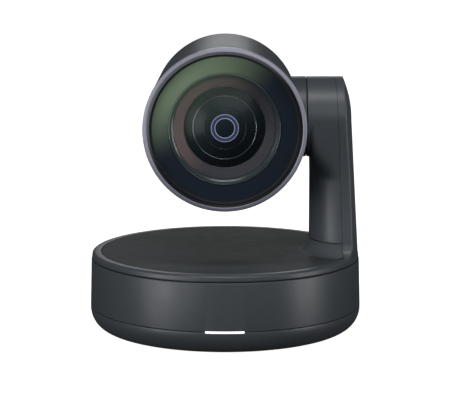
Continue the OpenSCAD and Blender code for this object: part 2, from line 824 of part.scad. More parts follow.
module iris_unit() {
    color(gap_black) difference() {
        turn_optical() translate([5, iris_y]) square([housing_r - housing_wall - fit - 5, 3.6]);
        for (a = [90, 270]) beside_axis(a, rod_offset, -20) cylinder(r = rod_r + running, h = 20, $fn = 48);
        for (a = [zoom_angle, focus_angle]) beside_axis(a, screw_offset, -20)
            cylinder(r = screw_r + 0.5, h = 20, $fn = 48);
    }
}

module guide_rods() {
    color(steel) for (a = [90, 270]) beside_axis(a, rod_offset, housing_y0 + 0.2)
        cylinder(r = rod_r, h = housing_y1 - housing_y0 - 2.3, $fn = 48);
}

module lens_motors() {
    color(steel) for (a = [zoom_angle, focus_angle]) difference() {
        beside_axis(a, screw_offset, housing_y1 + fit) cylinder(r = 5.4, h = 10, $fn = 48);
        beside_axis(a, screw_offset, housing_y1 - 1) cylinder(r = screw_r + running + 0.02, h = 7, $fn = 48);
    }
}

module sensor_board() {
    color(board_green) translate([-11, housing_y1 + 1.1, tilt_z - 11]) cube([22, 1.4, 22]);
}

module image_sensor() {
    color("#2d3f52") translate([-6, housing_y1 + 0.1, tilt_z - 4.5]) cube([12, 1, 9]);
}

module processor_board() {
    color(board_green) difference() {
        along_y(0, 41, tilt_z) cylinder(r = 36, h = 1.4);
        for (a = post_angles_head) beside_axis(a, head_post_r, 38)
            cylinder(r = screw_shank_r, h = 8, $fn = 32);
    }
    color(gap_black) for (x = [-22, -6, 12]) translate([x, 39.4, tilt_z + 12]) cube([9, 1.62, 9]);
}

module heat_sink() {
    color(steel) {
        along_y(0, 42.45, tilt_z) cylinder(r = 25, h = 1.8);
        for (i = [-4:4]) translate([i * 4.6 - 0.6, 44.2, tilt_z - 16]) cube([1.2, 6, 32]);
    }
}

module eye_block(angle, distance, y, length) {
    beside_axis(angle, distance, y) cylinder(r = 2.8, h = length, $fn = 48);
    translate([0, y, tilt_z]) rotate([0, -angle, 0]) translate([group_r, 0, -1.8])
        cube([distance - group_r - 1.9, length, 3.6]);
}

// A lens carrier with an eye on each guide rod and a nut on its own lead screw
module carrier(y, length, nut_angle) {
    eyes = [[90, rod_offset, rod_r + running], [270, rod_offset, rod_r + running],
            [nut_angle, screw_offset, screw_r + running]];
    difference() {
        union() {
            beside_axis(0, 0, y) cylinder(r = group_r + 1.2, h = length);
            for (e = eyes) eye_block(e[0], e[1], y, length);
        }
        beside_axis(0, 0, y - 1) cylinder(r = group_r - 0.6, h = length + 2);
        for (e = eyes) beside_axis(e[0], e[1], y - 1) cylinder(r = e[2], h = length + 2, $fn = 48);
    }
}

module zoom_group() {
    color(gap_black) carrier(zoom_y, carrier_length, zoom_angle);
    color("#39505a", 0.4) lens(group_r - 0.62, zoom_y + 2, 2, 1.4, 1);
}

module zoom_screw() {
    color("#b89b55") beside_axis(zoom_angle, screw_offset, housing_y0 + 0.5)
        cylinder(r = screw_r, h = housing_y1 + 5 - housing_y0, $fn = 48);
}

module focus_group() {
    color(gap_black) carrier(focus_y, carrier_length - 1, focus_angle);
    color("#39505a", 0.4) lens(group_r - 0.62, focus_y + 1.5, 1.6, 1, 1.4);
}

module focus_screw() {
    color("#b89b55") beside_axis(focus_angle, screw_offset, housing_y0 + 0.5)
        cylinder(r = screw_r, h = housing_y1 + 5 - housing_y0, $fn = 48);
}

base_bowl();
base_band();
foot_ring();
tripod_insert();
ballast_plate();
light_bar();
led_board();
port_panel();
usb_socket();
dc_jack();
control_socket();
security_plate();
main_board();
heat_spreader();
base_chassis();
pan_motor();
pan_bearing_inner();
pan_bearing_balls();
base_screws();
button_switch();
pairing_button();
pan_pinion();
yoke_shell();
disc_panel();
turntable_frame();
pan_ring_gear();
pan_bearing_outer();
column_cover();
root_collar();
arm_frame();
tilt_motor();
tilt_bearings();
tilt_belt();
arm_cable();
turntable_screws();
arm_screws();
tilt_motor_pulley();
barrel_shell();
rear_cap();
hub_neck();
front_bezel();
front_glass();
window_mask();
lens_baffle();
head_frame();
tilt_shaft();
tilt_pulley();
lens_housing();
front_element();
iris_unit();
guide_rods();
lens_motors();
sensor_board();
image_sensor();
processor_board();
heat_sink();
zoom_group();
zoom_screw();
focus_group();
focus_screw();
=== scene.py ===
"""Looks of a pan-tilt-zoom conference camera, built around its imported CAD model.

The lens looks along -Y, the arm is at +X and the base stands on z = 0. Profiles are written in millimetres.
"""
import json
import math

import bmesh
import bpy
from bpy.props import FloatProperty, FloatVectorProperty, IntProperty, PointerProperty
from bpy.types import Operator, Panel, PropertyGroup
from mathutils import Matrix, Vector


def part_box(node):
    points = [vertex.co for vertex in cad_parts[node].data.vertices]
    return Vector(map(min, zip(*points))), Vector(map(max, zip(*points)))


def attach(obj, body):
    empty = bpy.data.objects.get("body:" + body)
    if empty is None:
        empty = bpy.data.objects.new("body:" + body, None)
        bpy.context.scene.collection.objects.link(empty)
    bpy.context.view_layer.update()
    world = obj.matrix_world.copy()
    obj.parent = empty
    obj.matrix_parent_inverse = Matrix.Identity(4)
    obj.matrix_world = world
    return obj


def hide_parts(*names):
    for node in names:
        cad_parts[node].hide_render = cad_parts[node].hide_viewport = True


bl_info = {
    "name": "Conference Camera",
    "version": (1, 0, 0),
    "blender": (4, 5, 0),
    "location": "View3D > Sidebar > Camera Parts",
    "description": "Builds the shells, lens and finishes of a pan-tilt-zoom conference camera",
    "category": "Object",
}

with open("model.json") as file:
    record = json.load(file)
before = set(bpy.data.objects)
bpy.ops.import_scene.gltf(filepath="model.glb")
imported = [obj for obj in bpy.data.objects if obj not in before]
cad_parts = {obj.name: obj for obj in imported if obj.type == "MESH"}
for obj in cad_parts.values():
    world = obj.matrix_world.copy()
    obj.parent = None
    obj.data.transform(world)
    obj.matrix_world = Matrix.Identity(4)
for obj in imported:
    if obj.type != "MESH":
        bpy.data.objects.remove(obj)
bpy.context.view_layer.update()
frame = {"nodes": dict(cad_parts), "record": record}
MM = 0.001
SAME_POINT = 1e-7  # metres within which two points are merged
ON_AXIS = 1e-9  # metres from the axis within which a point of a profile lies on it
SHARP_EDGE = math.radians(30)
SLOT_OF = {row["node"]: row["material_slot"] for row in frame["record"]["subparts"]}


def low(node):
    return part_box(node)[0]


def high(node):
    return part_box(node)[1]


# ---- Settings ----


def length(label, about, metres):
    return FloatProperty(name=label, description=about, default=metres, unit="LENGTH", precision=5)


def colour(label, about, rgb):
    return FloatVectorProperty(name=label, description=about, default=rgb, subtype="COLOR", min=0, max=1)


class CameraSizes(PropertyGroup):
    base_radius: length("Base radius", "Radius of the base at its widest", high("base_bowl").x)
    foot_radius: length("Foot radius", "Radius at which the bowl turns flat underneath", 0.065)
    band_top_radius: length("Band top radius", "Radius of the band at its upper edge", 0.075)
    bowl_seam: length("Bowl seam", "Height of the seam under the band", low("base_band").z - 0.00015)
    pan_seam: length("Pan seam", "Height of the seam under the turning rim", low("yoke_shell").z - 0.0003)
    panel_height: length("Panel height", "Height of the turntable's flat top", high("disc_panel").z)
    panel_radius: length("Panel radius", "Radius of the disc panel", -low("disc_panel").x)
    rim_radius: length("Rim radius", "Radius of the rim's upper corner", 0.0741)
    hub_radius: length("Hub radius", "Radius of the tilt hub", (high("hub_neck").z - low("hub_neck").z) / 2)
    hub_seam: length("Hub seam", "Distance of the hub's seam from the middle",
                     (high("hub_neck").x + low("column_cover").x) / 2)
    column_face: length("Column face", "Distance of the column's face from the middle", low("root_collar").x)
    collar_seam: length("Collar seam", "Height of the seam under the column cover", 0.052)
    tilt_height: length("Tilt height", "Height of the tilt axis and the optical axis",
                        (high("front_bezel").z + low("front_bezel").z) / 2)
    bezel_radius: length("Bezel radius", "Outer radius of the front ring", high("front_bezel").x)
    head_front: length("Head front", "Distance of the front ring from the tilt axis", -low("front_bezel").y)
    head_back: length("Head back", "Distance of the rear cap from the tilt axis", high("rear_cap").y)
    cap_seam: length("Cap seam", "Distance of the rear cap's seam from the tilt axis", high("barrel_shell").y)
    back_radius: length("Back radius", "Radius of the drum at its back end", 0.0414)
    glass_radius: length("Glass radius", "Radius of the cover glass", high("front_glass").x)
    window_radius: length("Window radius", "Radius of the clear window", 0.0295)
    element_radius: length("Element radius", "Radius of the front lens element", high("front_element").x)
    wall: length("Wall", "Thickness of the moulded walls", 0.002)
    camera_distance: length("Camera distance", "Distance of the view from the middle of the object", 1.15)
    turn_steps: IntProperty(name="Turn steps", description="Facets round a turned shell", default=256, min=64)


class CameraColours(PropertyGroup):
    shell: colour("Shell", "Satin charcoal paint", (0.054, 0.062, 0.071))
    panel: colour("Panel", "Top panel of the turntable", (0.042, 0.049, 0.051))
    bezel: colour("Bezel", "Lilac-grey front ring", (0.31, 0.32, 0.39))
    # Painted shade: the ring's colour toward its bottom, where less light falls.
    bezel_low: colour("Bezel, lower part", "Front ring toward its bottom", (0.19, 0.195, 0.24))
    # Painted light and shade: the chamfer's lit colour and its near-black painted shadow toward the bottom
    # right.
    chamfer: colour("Chamfer", "Inner chamfer of the front ring", (0.27, 0.28, 0.31))
    chamfer_low: colour("Chamfer, lower part", "Inner chamfer toward its bottom", (0.008, 0.009, 0.012))
    # Painted reflection: the cover glass's sheen on its lit side, and its dark side.
    glass_lit: colour("Glass, lit side", "Sheen of the cover glass", (0.25, 0.34, 0.24))
    glass_dark: colour("Glass, dark side", "Cover glass away from its sheen", (0.01, 0.012, 0.015))
    # Painted light: the body's paint made a shade lighter on the arm and collar, which stand clear of the
    # base.
    arm: colour("Arm", "Paint of the arm", (0.075, 0.086, 0.099))
    # Painted reflection: the print's green and navy are the lit and dark sides of the coating's sheen.
    print_green: colour("Print green", "Lit side of the coated cover print", (0.26, 0.35, 0.23))
    print_navy: colour("Print navy", "Dark side of the coated cover print", (0.014, 0.024, 0.042))
    # Painted light and shade: the lens ring is mauve on its lit side and dark and cool on its shaded side.
    baffle_warm: colour("Baffle warm", "Mauve side of the lens ring", (0.30, 0.21, 0.21))
    baffle_cool: colour("Baffle cool", "Cool side of the lens ring", (0.062, 0.066, 0.082))
    # Painted reflection: the lit and dark sides of the front element's coating.
    element_lit: colour("Element lit", "Lit side of the coated front element", (0.03, 0.05, 0.055))
    element_dark: colour("Element dark", "Dark side of the coated front element", (0.003, 0.006, 0.011))
    # Painted light: the lines and band inside the lens glow, standing in for glints caught in the lens.
    lens_ring: colour("Lens ring", "Pale lines seen inside the lens", (0.26, 0.30, 0.46))
    lens_band: colour("Lens band", "Lilac band between the two pale lines", (0.028, 0.036, 0.07))
    light: colour("Light", "Glow of the status light", (0.9, 0.95, 1.0))


# ---- Modelling helpers ----


def sizes():
    """Every length of the settings in millimetres."""
    group = bpy.context.scene.camera_sizes
    return {name: getattr(group, name) / MM for name in group.bl_rna.properties.keys()
            if isinstance(getattr(group, name), float)}


def colours():
    return bpy.context.scene.camera_colours


def rounded(points, steps=4):
    """A closed outline of (x, y) or (x, y, size), where a size rounds that corner off."""
    outline = []
    for i, point in enumerate(points):
        here = Vector(point[:2])
        size = point[2] if len(point) > 2 else 0
        if not size:
            outline.append(here)
            continue
        sides = [Vector(points[j % len(points)][:2]) - here for j in (i - 1, i + 1)]
        start, end = (here + side.normalized() * min(size, side.length * 0.49) for side in sides)
        for step in range(steps + 1):
            t = step / steps
            outline.append(start * (1 - t) ** 2 + here * 2 * t * (1 - t) + end * t ** 2)
    return outline


def arc(centre_x, centre_y, radius_x, radius_y, start, end, steps=12):
    """Points of an elliptical arc between two angles in degrees."""
    angles = [math.radians(start + (end - start) * i / steps) for i in range(steps + 1)]
    return [(centre_x + radius_x * math.cos(a), centre_y + radius_y * math.sin(a)) for a in angles]


def placed(across, x=0, y=0, z=0):
    """Turns +Z to lie along an axis, then moves the result; lengths in millimetres."""
    turn = {"X": Matrix.Rotation(math.pi / 2, 4, "Y"), "Y": Matrix.Rotation(-math.pi / 2, 4, "X"),
            "Z": Matrix.Identity(4)}[across]
    return Matrix.Translation(Vector((x, y, z)) * MM) @ turn


def lathe(outline, matrix, steps=None):
    """A closed outline of (radius, height) in millimetres, turned once round the axis."""
    steps = steps or bpy.context.scene.camera_sizes.turn_steps
    mesh = bmesh.new()
    verts = [mesh.verts.new((p[0] * MM, 0, p[1] * MM)) for p in outline]
    edges = [mesh.edges.new(pair) for pair in zip(verts, verts[1:] + verts[:1])]
    on_axis = [e for e in edges if all(v.co.x < ON_AXIS for v in e.verts)]
    bmesh.ops.delete(mesh, geom=on_axis, context="EDGES")
    bmesh.ops.spin(mesh, geom=mesh.verts[:] + mesh.edges[:], axis=(0, 0, 1), cent=(0, 0, 0),
                   angle=2 * math.pi, steps=steps, use_merge=True)
    return tidy(mesh, matrix)


def tidy(mesh, matrix=Matrix.Identity(4)):
    """Merges doubles, drops faces without area, turns faces outward and puts the mesh in place."""
    bmesh.ops.remove_doubles(mesh, verts=mesh.verts, dist=SAME_POINT)
    bmesh.ops.dissolve_degenerate(mesh, edges=mesh.edges, dist=SAME_POINT)
    bmesh.ops.recalc_face_normals(mesh, faces=mesh.faces)
    bmesh.ops.transform(mesh, matrix=matrix, verts=mesh.verts)
    return mesh


def loft(sections):
    """Closed sections with the same number of points, in millimetres, joined and capped."""
    mesh = bmesh.new()
    ring = [mesh.verts.new(Vector(p) * MM) for p in sections[0]]
    edges = [mesh.edges.new(pair) for pair in zip(ring, ring[1:] + ring[:1])]
    ends = [edges]
    for section in sections[1:]:
        made = bmesh.ops.extrude_edge_only(mesh, edges=edges)["geom"]
        fresh = {g for g in made if isinstance(g, bmesh.types.BMVert)}
        place = {v: i for i, v in enumerate(ring)}
        ring = [None] * len(ring)
        for v in fresh:
            below = next(e.other_vert(v) for e in v.link_edges if e.other_vert(v) in place)
            ring[place[below]] = v
        for v, point in zip(ring, section):
            v.co = Vector(point) * MM
        edges = [g for g in made if isinstance(g, bmesh.types.BMEdge) and set(g.verts) <= fresh]
    ends.append(edges)
    for end in ends:
        bmesh.ops.edgeloop_fill(mesh, edges=end)
    return tidy(mesh)


def block(centre, size, round_edges=0):
    """A box of a centre and a size in millimetres, with its edges rounded."""
    mesh = bmesh.new()
    bmesh.ops.create_cube(mesh, size=1, matrix=Matrix.Translation(Vector(centre) * MM)
                          @ Matrix.Diagonal((*(Vector(size) * MM), 1)))
    if round_edges:
        bmesh.ops.bevel(mesh, geom=mesh.edges, offset=round_edges * MM, offset_type="OFFSET",
                        segments=4, profile=0.5, affect="EDGES", material=-1)
    return tidy(mesh)


def rod(radius, height, matrix, edge=0.2, bore=0.0, floor=0.0, steps=96):
    """A turned post with rounded edges and, if it has a bore, a blind hole above its floor."""
    outline = [(0, 0), (radius, 0, edge), (radius, height, edge)]
    outline += [(bore, height, edge), (bore, floor), (0, floor)] if bore else [(0, height)]
    return lathe(rounded(outline, 3), matrix, steps)


def joined(*meshes):
    """Several closed meshes in one, without merging them."""
    whole = bmesh.new()
    for mesh in meshes:
        loose = bpy.data.meshes.new("loose")
        mesh.to_mesh(loose)
        mesh.free()
        whole.from_mesh(loose)
        bpy.data.meshes.remove(loose)
    return whole


def as_object(name, mesh):
    data = bpy.data.meshes.new(name)
    mesh.to_mesh(data)
    mesh.free()
    made = bpy.data.objects.new(name, data)
    bpy.context.scene.collection.objects.link(made)
    return made


def combined(mesh, *changes):
    """The mesh after each ("UNION" | "DIFFERENCE" | "INTERSECT", other mesh) in order."""
    worked = as_object("worked", mesh)
    for operation, other in changes:
        tool = as_object("tool", other)
        change = worked.modifiers.new("change", "BOOLEAN")
        change.operation, change.object, change.solver = operation, tool, "EXACT"
        seen = worked.evaluated_get(bpy.context.evaluated_depsgraph_get())
        result = bpy.data.meshes.new_from_object(seen)
        worked.modifiers.clear()
        old, worked.data = worked.data, result
        for spent in (old, tool.data):
            bpy.data.meshes.remove(spent)
    whole = bmesh.new()
    whole.from_mesh(worked.data)
    bpy.data.meshes.remove(worked.data)
    bmesh.ops.remove_doubles(whole, verts=whole.verts, dist=2 * SAME_POINT)
    bmesh.ops.dissolve_degenerate(whole, edges=whole.edges, dist=2 * SAME_POINT)
    return whole


def without(mesh, *tools):
    """The mesh with other meshes cut out of it."""
    return combined(mesh, *(("DIFFERENCE", tool) for tool in tools))


def finished(name, mesh, body, material):
    """The object of a finished mesh, smooth up to its sharp edges, riding on a body."""
    if not mesh.faces:
        raise RuntimeError(f"{name} has no faces")
    made = as_object(name, mesh)
    made.data.shade_smooth()
    made.data.set_sharp_from_angle(angle=SHARP_EDGE)
    made.data.materials.append(material)
    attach(made, body)
    return made


def piece(name, mesh, body, nodes, material):
    """A finished piece that stands for its CAD nodes."""
    made = finished(name, mesh, body, material)
    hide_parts(*nodes)


def extra_piece(name, mesh, body, material):
    """A finished detail that stands for no CAD node of its own."""
    finished(name, mesh, body, material)


# ---- Finishes ----


def surface(name, rgb, roughness, **sockets):
    """A new Principled material; returns the material, its nodes, its links and its shader."""
    material = bpy.data.materials.new(name)
    material.use_nodes = True
    nodes, links = material.node_tree.nodes, material.node_tree.links
    shader = nodes["Principled BSDF"]
    shader.inputs["Base Color"].default_value = (*rgb, 1)
    shader.inputs["Roughness"].default_value = roughness
    for label, value in sockets.items():
        shader.inputs[label.replace("_", " ")].default_value = value
    return material, nodes, links, shader


def pattern(nodes, links, scale):
    """Noise on the object's own coordinates; scale is in features per metre."""
    place = nodes.new("ShaderNodeTexCoord")
    noise = nodes.new("ShaderNodeTexNoise")
    noise.inputs["Scale"].default_value = scale
    noise.inputs["Detail"].default_value = 2.0
    links.new(place.outputs["Object"], noise.inputs["Vector"])
    return noise.outputs["Fac"]


def ranged(nodes, links, value, lowest, highest):
    """A noise value, which mostly lies between 0.3 and 0.7, spread over a range."""
    spread = nodes.new("ShaderNodeMapRange")
    spread.inputs["From Min"].default_value = 0.3
    spread.inputs["From Max"].default_value = 0.7
    spread.inputs["To Min"].default_value = lowest
    spread.inputs["To Max"].default_value = highest
    links.new(value, spread.inputs["Value"])
    return spread.outputs["Result"]


def grain(nodes, links, shader, scale, depth):
    """A fine bump; depth is in metres."""
    bump = nodes.new("ShaderNodeBump")
    bump.inputs["Strength"].default_value = 1.0
    bump.inputs["Distance"].default_value = depth
    links.new(pattern(nodes, links, scale), bump.inputs["Height"])
    links.new(bump.outputs["Normal"], shader.inputs["Normal"])


def worked_finish(name, rgb, roughness, variation, scale, depth, **sockets):
    """A plain finish whose gloss wanders a little and whose surface has a fine grain."""
    material, nodes, links, shader = surface(name, rgb, roughness, **sockets)
    patches = pattern(nodes, links, scale / 20)
    wander = ranged(nodes, links, patches, roughness - variation, roughness + variation)
    links.new(wander, shader.inputs["Roughness"])
    if depth:
        grain(nodes, links, shader, scale, depth)
    return material


SATIN, MATT = 0.42, 0.62  # roughness of the two kinds of paint
PAINT_GRAIN = 2600  # grains per metre
GRADIENT_UP = (0, 0, 1)
# The sheen is a painted reflection, shared by the cover glass and the print behind it.
SHEEN = ((-0.57, 0, 0.82), 0.003, 0.038)  # direction, start and end of the coating's sheen


def charcoal_paint():
    return worked_finish("charcoal_paint", colours().shell, SATIN, 0.02, PAINT_GRAIN, 2.5e-6)


def panel_paint():
    return worked_finish("panel_paint", colours().panel, MATT, 0.02, PAINT_GRAIN, 2.5e-6,
                         Specular_IOR_Level=0.25)


def gradient_finish(name, lit, dark, direction, start, end, roughness, **sockets):
    """A colour that changes along a direction, from start to end in metres from the lens axis."""
    material, nodes, links, shader = surface(name, dark, roughness, **sockets)
    place = nodes.new("ShaderNodeTexCoord")
    mapping = nodes.new("ShaderNodeMapping")
    mapping.inputs["Location"].default_value = (0, 0, -bpy.context.scene.camera_sizes.tilt_height)
    along = nodes.new("ShaderNodeVectorMath")
    along.operation = "DOT_PRODUCT"
    along.inputs[1].default_value = Vector(direction).normalized()
    blend = nodes.new("ShaderNodeMapRange")
    blend.interpolation_type = "SMOOTHSTEP"
    blend.inputs["From Min"].default_value = start
    blend.inputs["From Max"].default_value = end
    ramp = nodes.new("ShaderNodeMix")
    ramp.data_type = "RGBA"
    ramp.inputs["A"].default_value = (*dark, 1)
    ramp.inputs["B"].default_value = (*lit, 1)
    links.new(place.outputs["Object"], mapping.inputs["Vector"])
    links.new(mapping.outputs["Vector"], along.inputs[0])
    links.new(along.outputs["Value"], blend.inputs["Value"])
    links.new(blend.outputs["Result"], ramp.inputs["Factor"])
    links.new(ramp.outputs["Result"], shader.inputs["Base Color"])
    return material


# Dark print under the coated glass, with a painted reflection: green where the sheen is lit, navy on its dark
# side.
def print_with_painted_sheen():
    return gradient_finish("print_with_painted_sheen", colours().print_green, colours().print_navy, *SHEEN, 0.5,
                           Specular_IOR_Level=0.2)


def bezel_paint_and_shade():
    """Pearl paint with painted shade, darker toward the bottom of the ring, where less light falls."""
    return gradient_finish("bezel_paint_and_shade", colours().bezel, colours().bezel_low, GRADIENT_UP, -0.042, -0.008,
                           0.36, Metallic=0.25)


# Painted light and shade: the inner chamfer is lit toward the top left and near black in painted shadow
# toward the bottom right.
def chamfer_paint_and_shade():
    return gradient_finish("chamfer_paint_and_shade", colours().chamfer, colours().chamfer_low, (-0.5, 0, 0.87),
                           -0.002, 0.042, 0.5, Specular_IOR_Level=0.15)


def arm_paint_with_painted_light():
    """The body's paint with painted light: a shade lighter on the arm than on the base, where the arm stands
    clear of the base.
    """
    return gradient_finish("arm_paint_with_painted_light", colours().arm, colours().shell, GRADIENT_UP, -0.078, -0.06, SATIN)


# Matt paint in the arm's colour, a shade lighter than the base: painted light.
def collar_paint_with_painted_light():
    return worked_finish("collar_paint_with_painted_light", colours().arm, MATT, 0.03, PAINT_GRAIN, 2e-6,
                         Specular_IOR_Level=0.15)


# Mauve ring with painted light and shade: mauve toward the lit upper left, dark and cool where it is shaded.
def mauve_ring_with_painted_shade():
    return gradient_finish("mauve_ring_with_painted_shade", colours().baffle_warm, colours().baffle_cool,
                           (-0.85, 0, 0.53), -0.008, 0.024, 0.6, Specular_IOR_Level=0.2)


def cover_glass():
    """Coated glass: clear, with a painted reflection, a faint green sheen over its lit side."""
    material = gradient_finish("cover_glass", colours().glass_lit, colours().glass_dark, *SHEEN, 0.1,
                               Alpha=0.12)
    material.surface_render_method = "BLENDED"
    return material


# Coated glass with a painted reflection: lighter toward the top left, dark toward the bottom right.
def element_glass_with_painted_sheen():
    return gradient_finish("element_glass_with_painted_sheen", colours().element_lit, colours().element_dark,
                           (-0.5, 0, 0.87), -0.02, 0.022, 0.25, Specular_IOR_Level=0.3)


def lens_glow(name, rgb):
    """A line inside the lens that glows: painted light, standing in for the light it catches from behind the
    glass.
    """
    return surface(name, rgb, 0.3, Emission_Color=(*rgb, 1), Emission_Strength=0.8)[0]


def pale_line():
    return lens_glow("pale_line", colours().lens_ring)


def lilac_band():
    return lens_glow("lilac_band", colours().lens_band)


def dark_line():
    return surface("dark_line", (0.002, 0.002, 0.003), 0.5, Specular_IOR_Level=0.1)[0]


def faint_line():
    return surface("faint_line", (0.05, 0.06, 0.065), 0.3, Metallic=0.5)[0]


def fine_line():
    return surface("fine_line", (0.30, 0.34, 0.36), 0.22, Metallic=0.8)[0]


def status_light():
    return surface("status_light", (0.9, 0.92, 0.95), 0.3, Emission_Color=(*colours().light, 1),
                   Emission_Strength=1.6)[0]


# Colour, roughness, how far the roughness wanders, grains per metre, grain depth in metres, other sockets
PLAIN_FINISHES = {
    "black_plastic": ((0.012, 0.012, 0.014), 0.45, 0.04, 2400, 2e-6, {}),
    "black_print": ((0.006, 0.006, 0.007), 0.2, 0.02, 1800, 0, {}),
    "baffle": ((0.02, 0.02, 0.024), 0.5, 0.03, 2400, 1e-6, {}),
    "gear_plastic": ((0.62, 0.58, 0.48), 0.45, 0.04, 1500, 1e-6, {}),
    "steel": ((0.5, 0.51, 0.53), 0.32, 0.06, 1600, 1e-6, {"Metallic": 1.0}),
    "bearing_steel": ((0.62, 0.63, 0.66), 0.16, 0.04, 1600, 0, {"Metallic": 1.0}),
    "aluminium": ((0.6, 0.61, 0.63), 0.42, 0.06, 1400, 2e-6, {"Metallic": 1.0}),
    "brass": ((0.6, 0.42, 0.17), 0.28, 0.05, 1600, 1e-6, {"Metallic": 1.0}),
    "board": ((0.01, 0.085, 0.04), 0.25, 0.05, 900, 0, {}),
    "rubber": ((0.018, 0.018, 0.018), 0.75, 0.05, 1800, 4e-6, {}),
    "shell": ((0.052, 0.055, 0.064), 0.4, 0.03, 2600, 2e-6, {"Metallic": 0.35}),
    "bezel": ((0.2, 0.205, 0.27), 0.34, 0.02, 3000, 0, {"Metallic": 0.75}),
    "lens_glass": ((0.02, 0.04, 0.045), 0.06, 0.01, 800, 0, {"Coat_Weight": 0.5}),
    "glass_cover": ((0.03, 0.04, 0.045), 0.05, 0.01, 800, 0, {}),
    "sensor": ((0.02, 0.035, 0.06), 0.12, 0.03, 1200, 0, {}),
    "light": ((0.85, 0.88, 0.9), 0.35, 0.03, 900, 0, {}),
}


def plain_finish(slot):
    """The shared finish of a record slot, made the first time it is asked for."""
    found = bpy.data.materials.get(slot)
    if found:
        return found
    rgb, roughness, variation, scale, depth, sockets = PLAIN_FINISHES[slot]
    return worked_finish(slot, rgb, roughness, variation, scale, depth, **sockets)


def shared(make):
    """The material a maker function gives, made once."""
    return bpy.data.materials.get(make.__name__) or make()


# ---- Base ----

FOOT_INNER, FOOT_OUTER = 54.0, 61.5
SKIN = 0.02  # how far a shell stays inside the widest radius
SEAM = 0.15  # half of the seam between bowl and band
BOWL_WALL = 2.2
LIGHT_WIDTH = 20.8
BUTTON_X, LOCK_X = 26.5, -26.5
JACK_RADIUS, CONTROL_RADIUS = 5.0, 6.2
SOCKET_BACK = 53.0  # where the sockets start, from the middle of the base
SOCKET_DEPTH = 9.0


class CAMERA_OT_bowl(Operator):
    """Bottom bowl with its rounded foot, its front light notch and its underside details"""
    bl_idname = "camera_parts.bowl"
    bl_label = "Bowl"

    def execute(self, context):
        s = sizes()
        edge = s["bowl_seam"] - SEAM
        under = low("base_bowl").z / MM
        shoulder = edge - 0.9
        outer, lip, inside = (s["base_radius"] - inset for inset in (SKIN, 2.4, 3.6))
        turn = arc(s["foot_radius"], shoulder, outer - s["foot_radius"], shoulder - under, -90, 0, 18)
        inner = arc(s["foot_radius"], shoulder, inside - s["foot_radius"], shoulder - under - BOWL_WALL,
                    0, -90, 12)
        outline = ([(0, under)] + turn
                   + rounded([(outer, edge - 0.5), (outer, edge, 0.35), (lip, edge)])[1:-1]
                   + [(lip, edge), (lip, edge + 2.9), (inside, edge + 2.9)]
                   + inner + [(0, under + BOWL_WALL)])
        groove_in, groove_out = FOOT_INNER - 0.1, FOOT_OUTER + 0.1
        groove = lathe([(groove_in, -1), (groove_out, -1), (groove_out, under + 1), (groove_in, under + 1)],
                       placed("Z"))
        notch = block((0, -s["base_radius"], edge + 5), (LIGHT_WIDTH + 0.4, 20, 10 + 2 * 0.62))
        recess = block((0, s["base_radius"], edge + 10.9), (72, 50, 20))
        circle = 46
        screws = [rod(3.0, 5, placed("Z", circle * math.cos(a), circle * math.sin(a), -1.4), 0, steps=32)
                  for a in (math.radians(45 + 90 * i) for i in range(4))]
        socket = rod(6.52, 3, placed("Z", 0, 0, -0.8), 0, steps=64)
        mesh = without(lathe(outline, placed("Z")), groove, notch, recess, joined(*screws), socket)
        piece("bowl", mesh, "base", ["base_bowl"], shared(charcoal_paint))
        return {"FINISHED"}


class CAMERA_OT_band(Operator):
    """Upright band of the base, with the opening for the connector panel at the back"""
    bl_idname = "camera_parts.band"
    bl_label = "Band"

    def execute(self, context):
        s = sizes()
        bottom, top = s["bowl_seam"] + SEAM, s["pan_seam"] - 0.3
        base, upper = s["base_radius"] - SKIN, s["band_top_radius"] + 0.3
        outline = rounded([(base, bottom, 0.35), (upper, top, 0.6), (72.6, top), (72.6, top + 1.2),
                           (71.4, top + 1.2), (71.4, top - 2.2), (upper - 2.6, top - 3.7),
                           (base - 2.2, bottom)])
        panel_middle = (low("port_panel").z + high("port_panel").z) / 2 / MM
        opening = block((0, 75, panel_middle), (71.9, 50, 20.3), 1.6)
        notch = block((0, -s["base_radius"], bottom), (LIGHT_WIDTH + 0.4, 20, 0.8))
        mesh = without(lathe(outline, placed("Z")), opening, notch)
        piece("band", mesh, "base", ["base_band"], shared(charcoal_paint))
        return {"FINISHED"}


class CAMERA_OT_feet(Operator):
    """Rubber foot ring and the threaded tripod socket"""
    bl_idname = "camera_parts.feet"
    bl_label = "Foot ring and tripod socket"

    def execute(self, context):
        outline = rounded([(FOOT_INNER, 1.9), (FOOT_INNER, 0, 0.5), (FOOT_OUTER, 0, 0.5), (FOOT_OUTER, 1.9)])
        ribs = [rounded([(r, 0.4), (r + 0.9, 0.4), (r + 0.9, 0.01, 0.2), (r, 0.01, 0.2)])
                for r in (55.2, 57.3, 59.4)]
        mesh = joined(lathe(outline, placed("Z")), *[lathe(rib, placed("Z")) for rib in ribs])
        piece("foot_ring_ribbed", mesh, "base", ["foot_ring"], plain_finish("rubber"))
        bore = 2.6
        thread = [(bore + (0.45 if i % 2 else 0), 1.2 + i * 0.32) for i in range(20)]
        insert = ([(5, 9), (5, 2.2), (6.5, 2.2)] + rounded([(6.5, 1.2), (6.5, 1.02, 0.2), (3.4, 1.02)])[1:-1]
                  + [(3.2, 1.02)] + thread + [(bore, 7.7), (0, 7.7), (0, 9)])
        piece("tripod_socket", lathe(insert, placed("Z"), 96), "base", ["tripod_insert"],
              plain_finish("brass"))
        return {"FINISHED"}


class CAMERA_OT_light_bar(Operator):
    """Narrow white status light in the lower seam at the front"""
    bl_idname = "camera_parts.light_bar"
    bl_label = "Status light"

    def execute(self, context):
        s = sizes()
        z, front = s["bowl_seam"], s["base_radius"] - 0.1
        outline = rounded([(69, z - 0.5), (front, z - 0.5, 0.2), (front, z + 0.5, 0.2), (69, z + 0.5)])
        stretch = block((0, -s["base_radius"], z), (LIGHT_WIDTH, 20, 4), 0.5)
        mesh = combined(lathe(outline, placed("Z"), 512), ("INTERSECT", stretch))
        piece("status_light_bar", mesh, "base", ["light_bar"], shared(status_light))
        return {"FINISHED"}


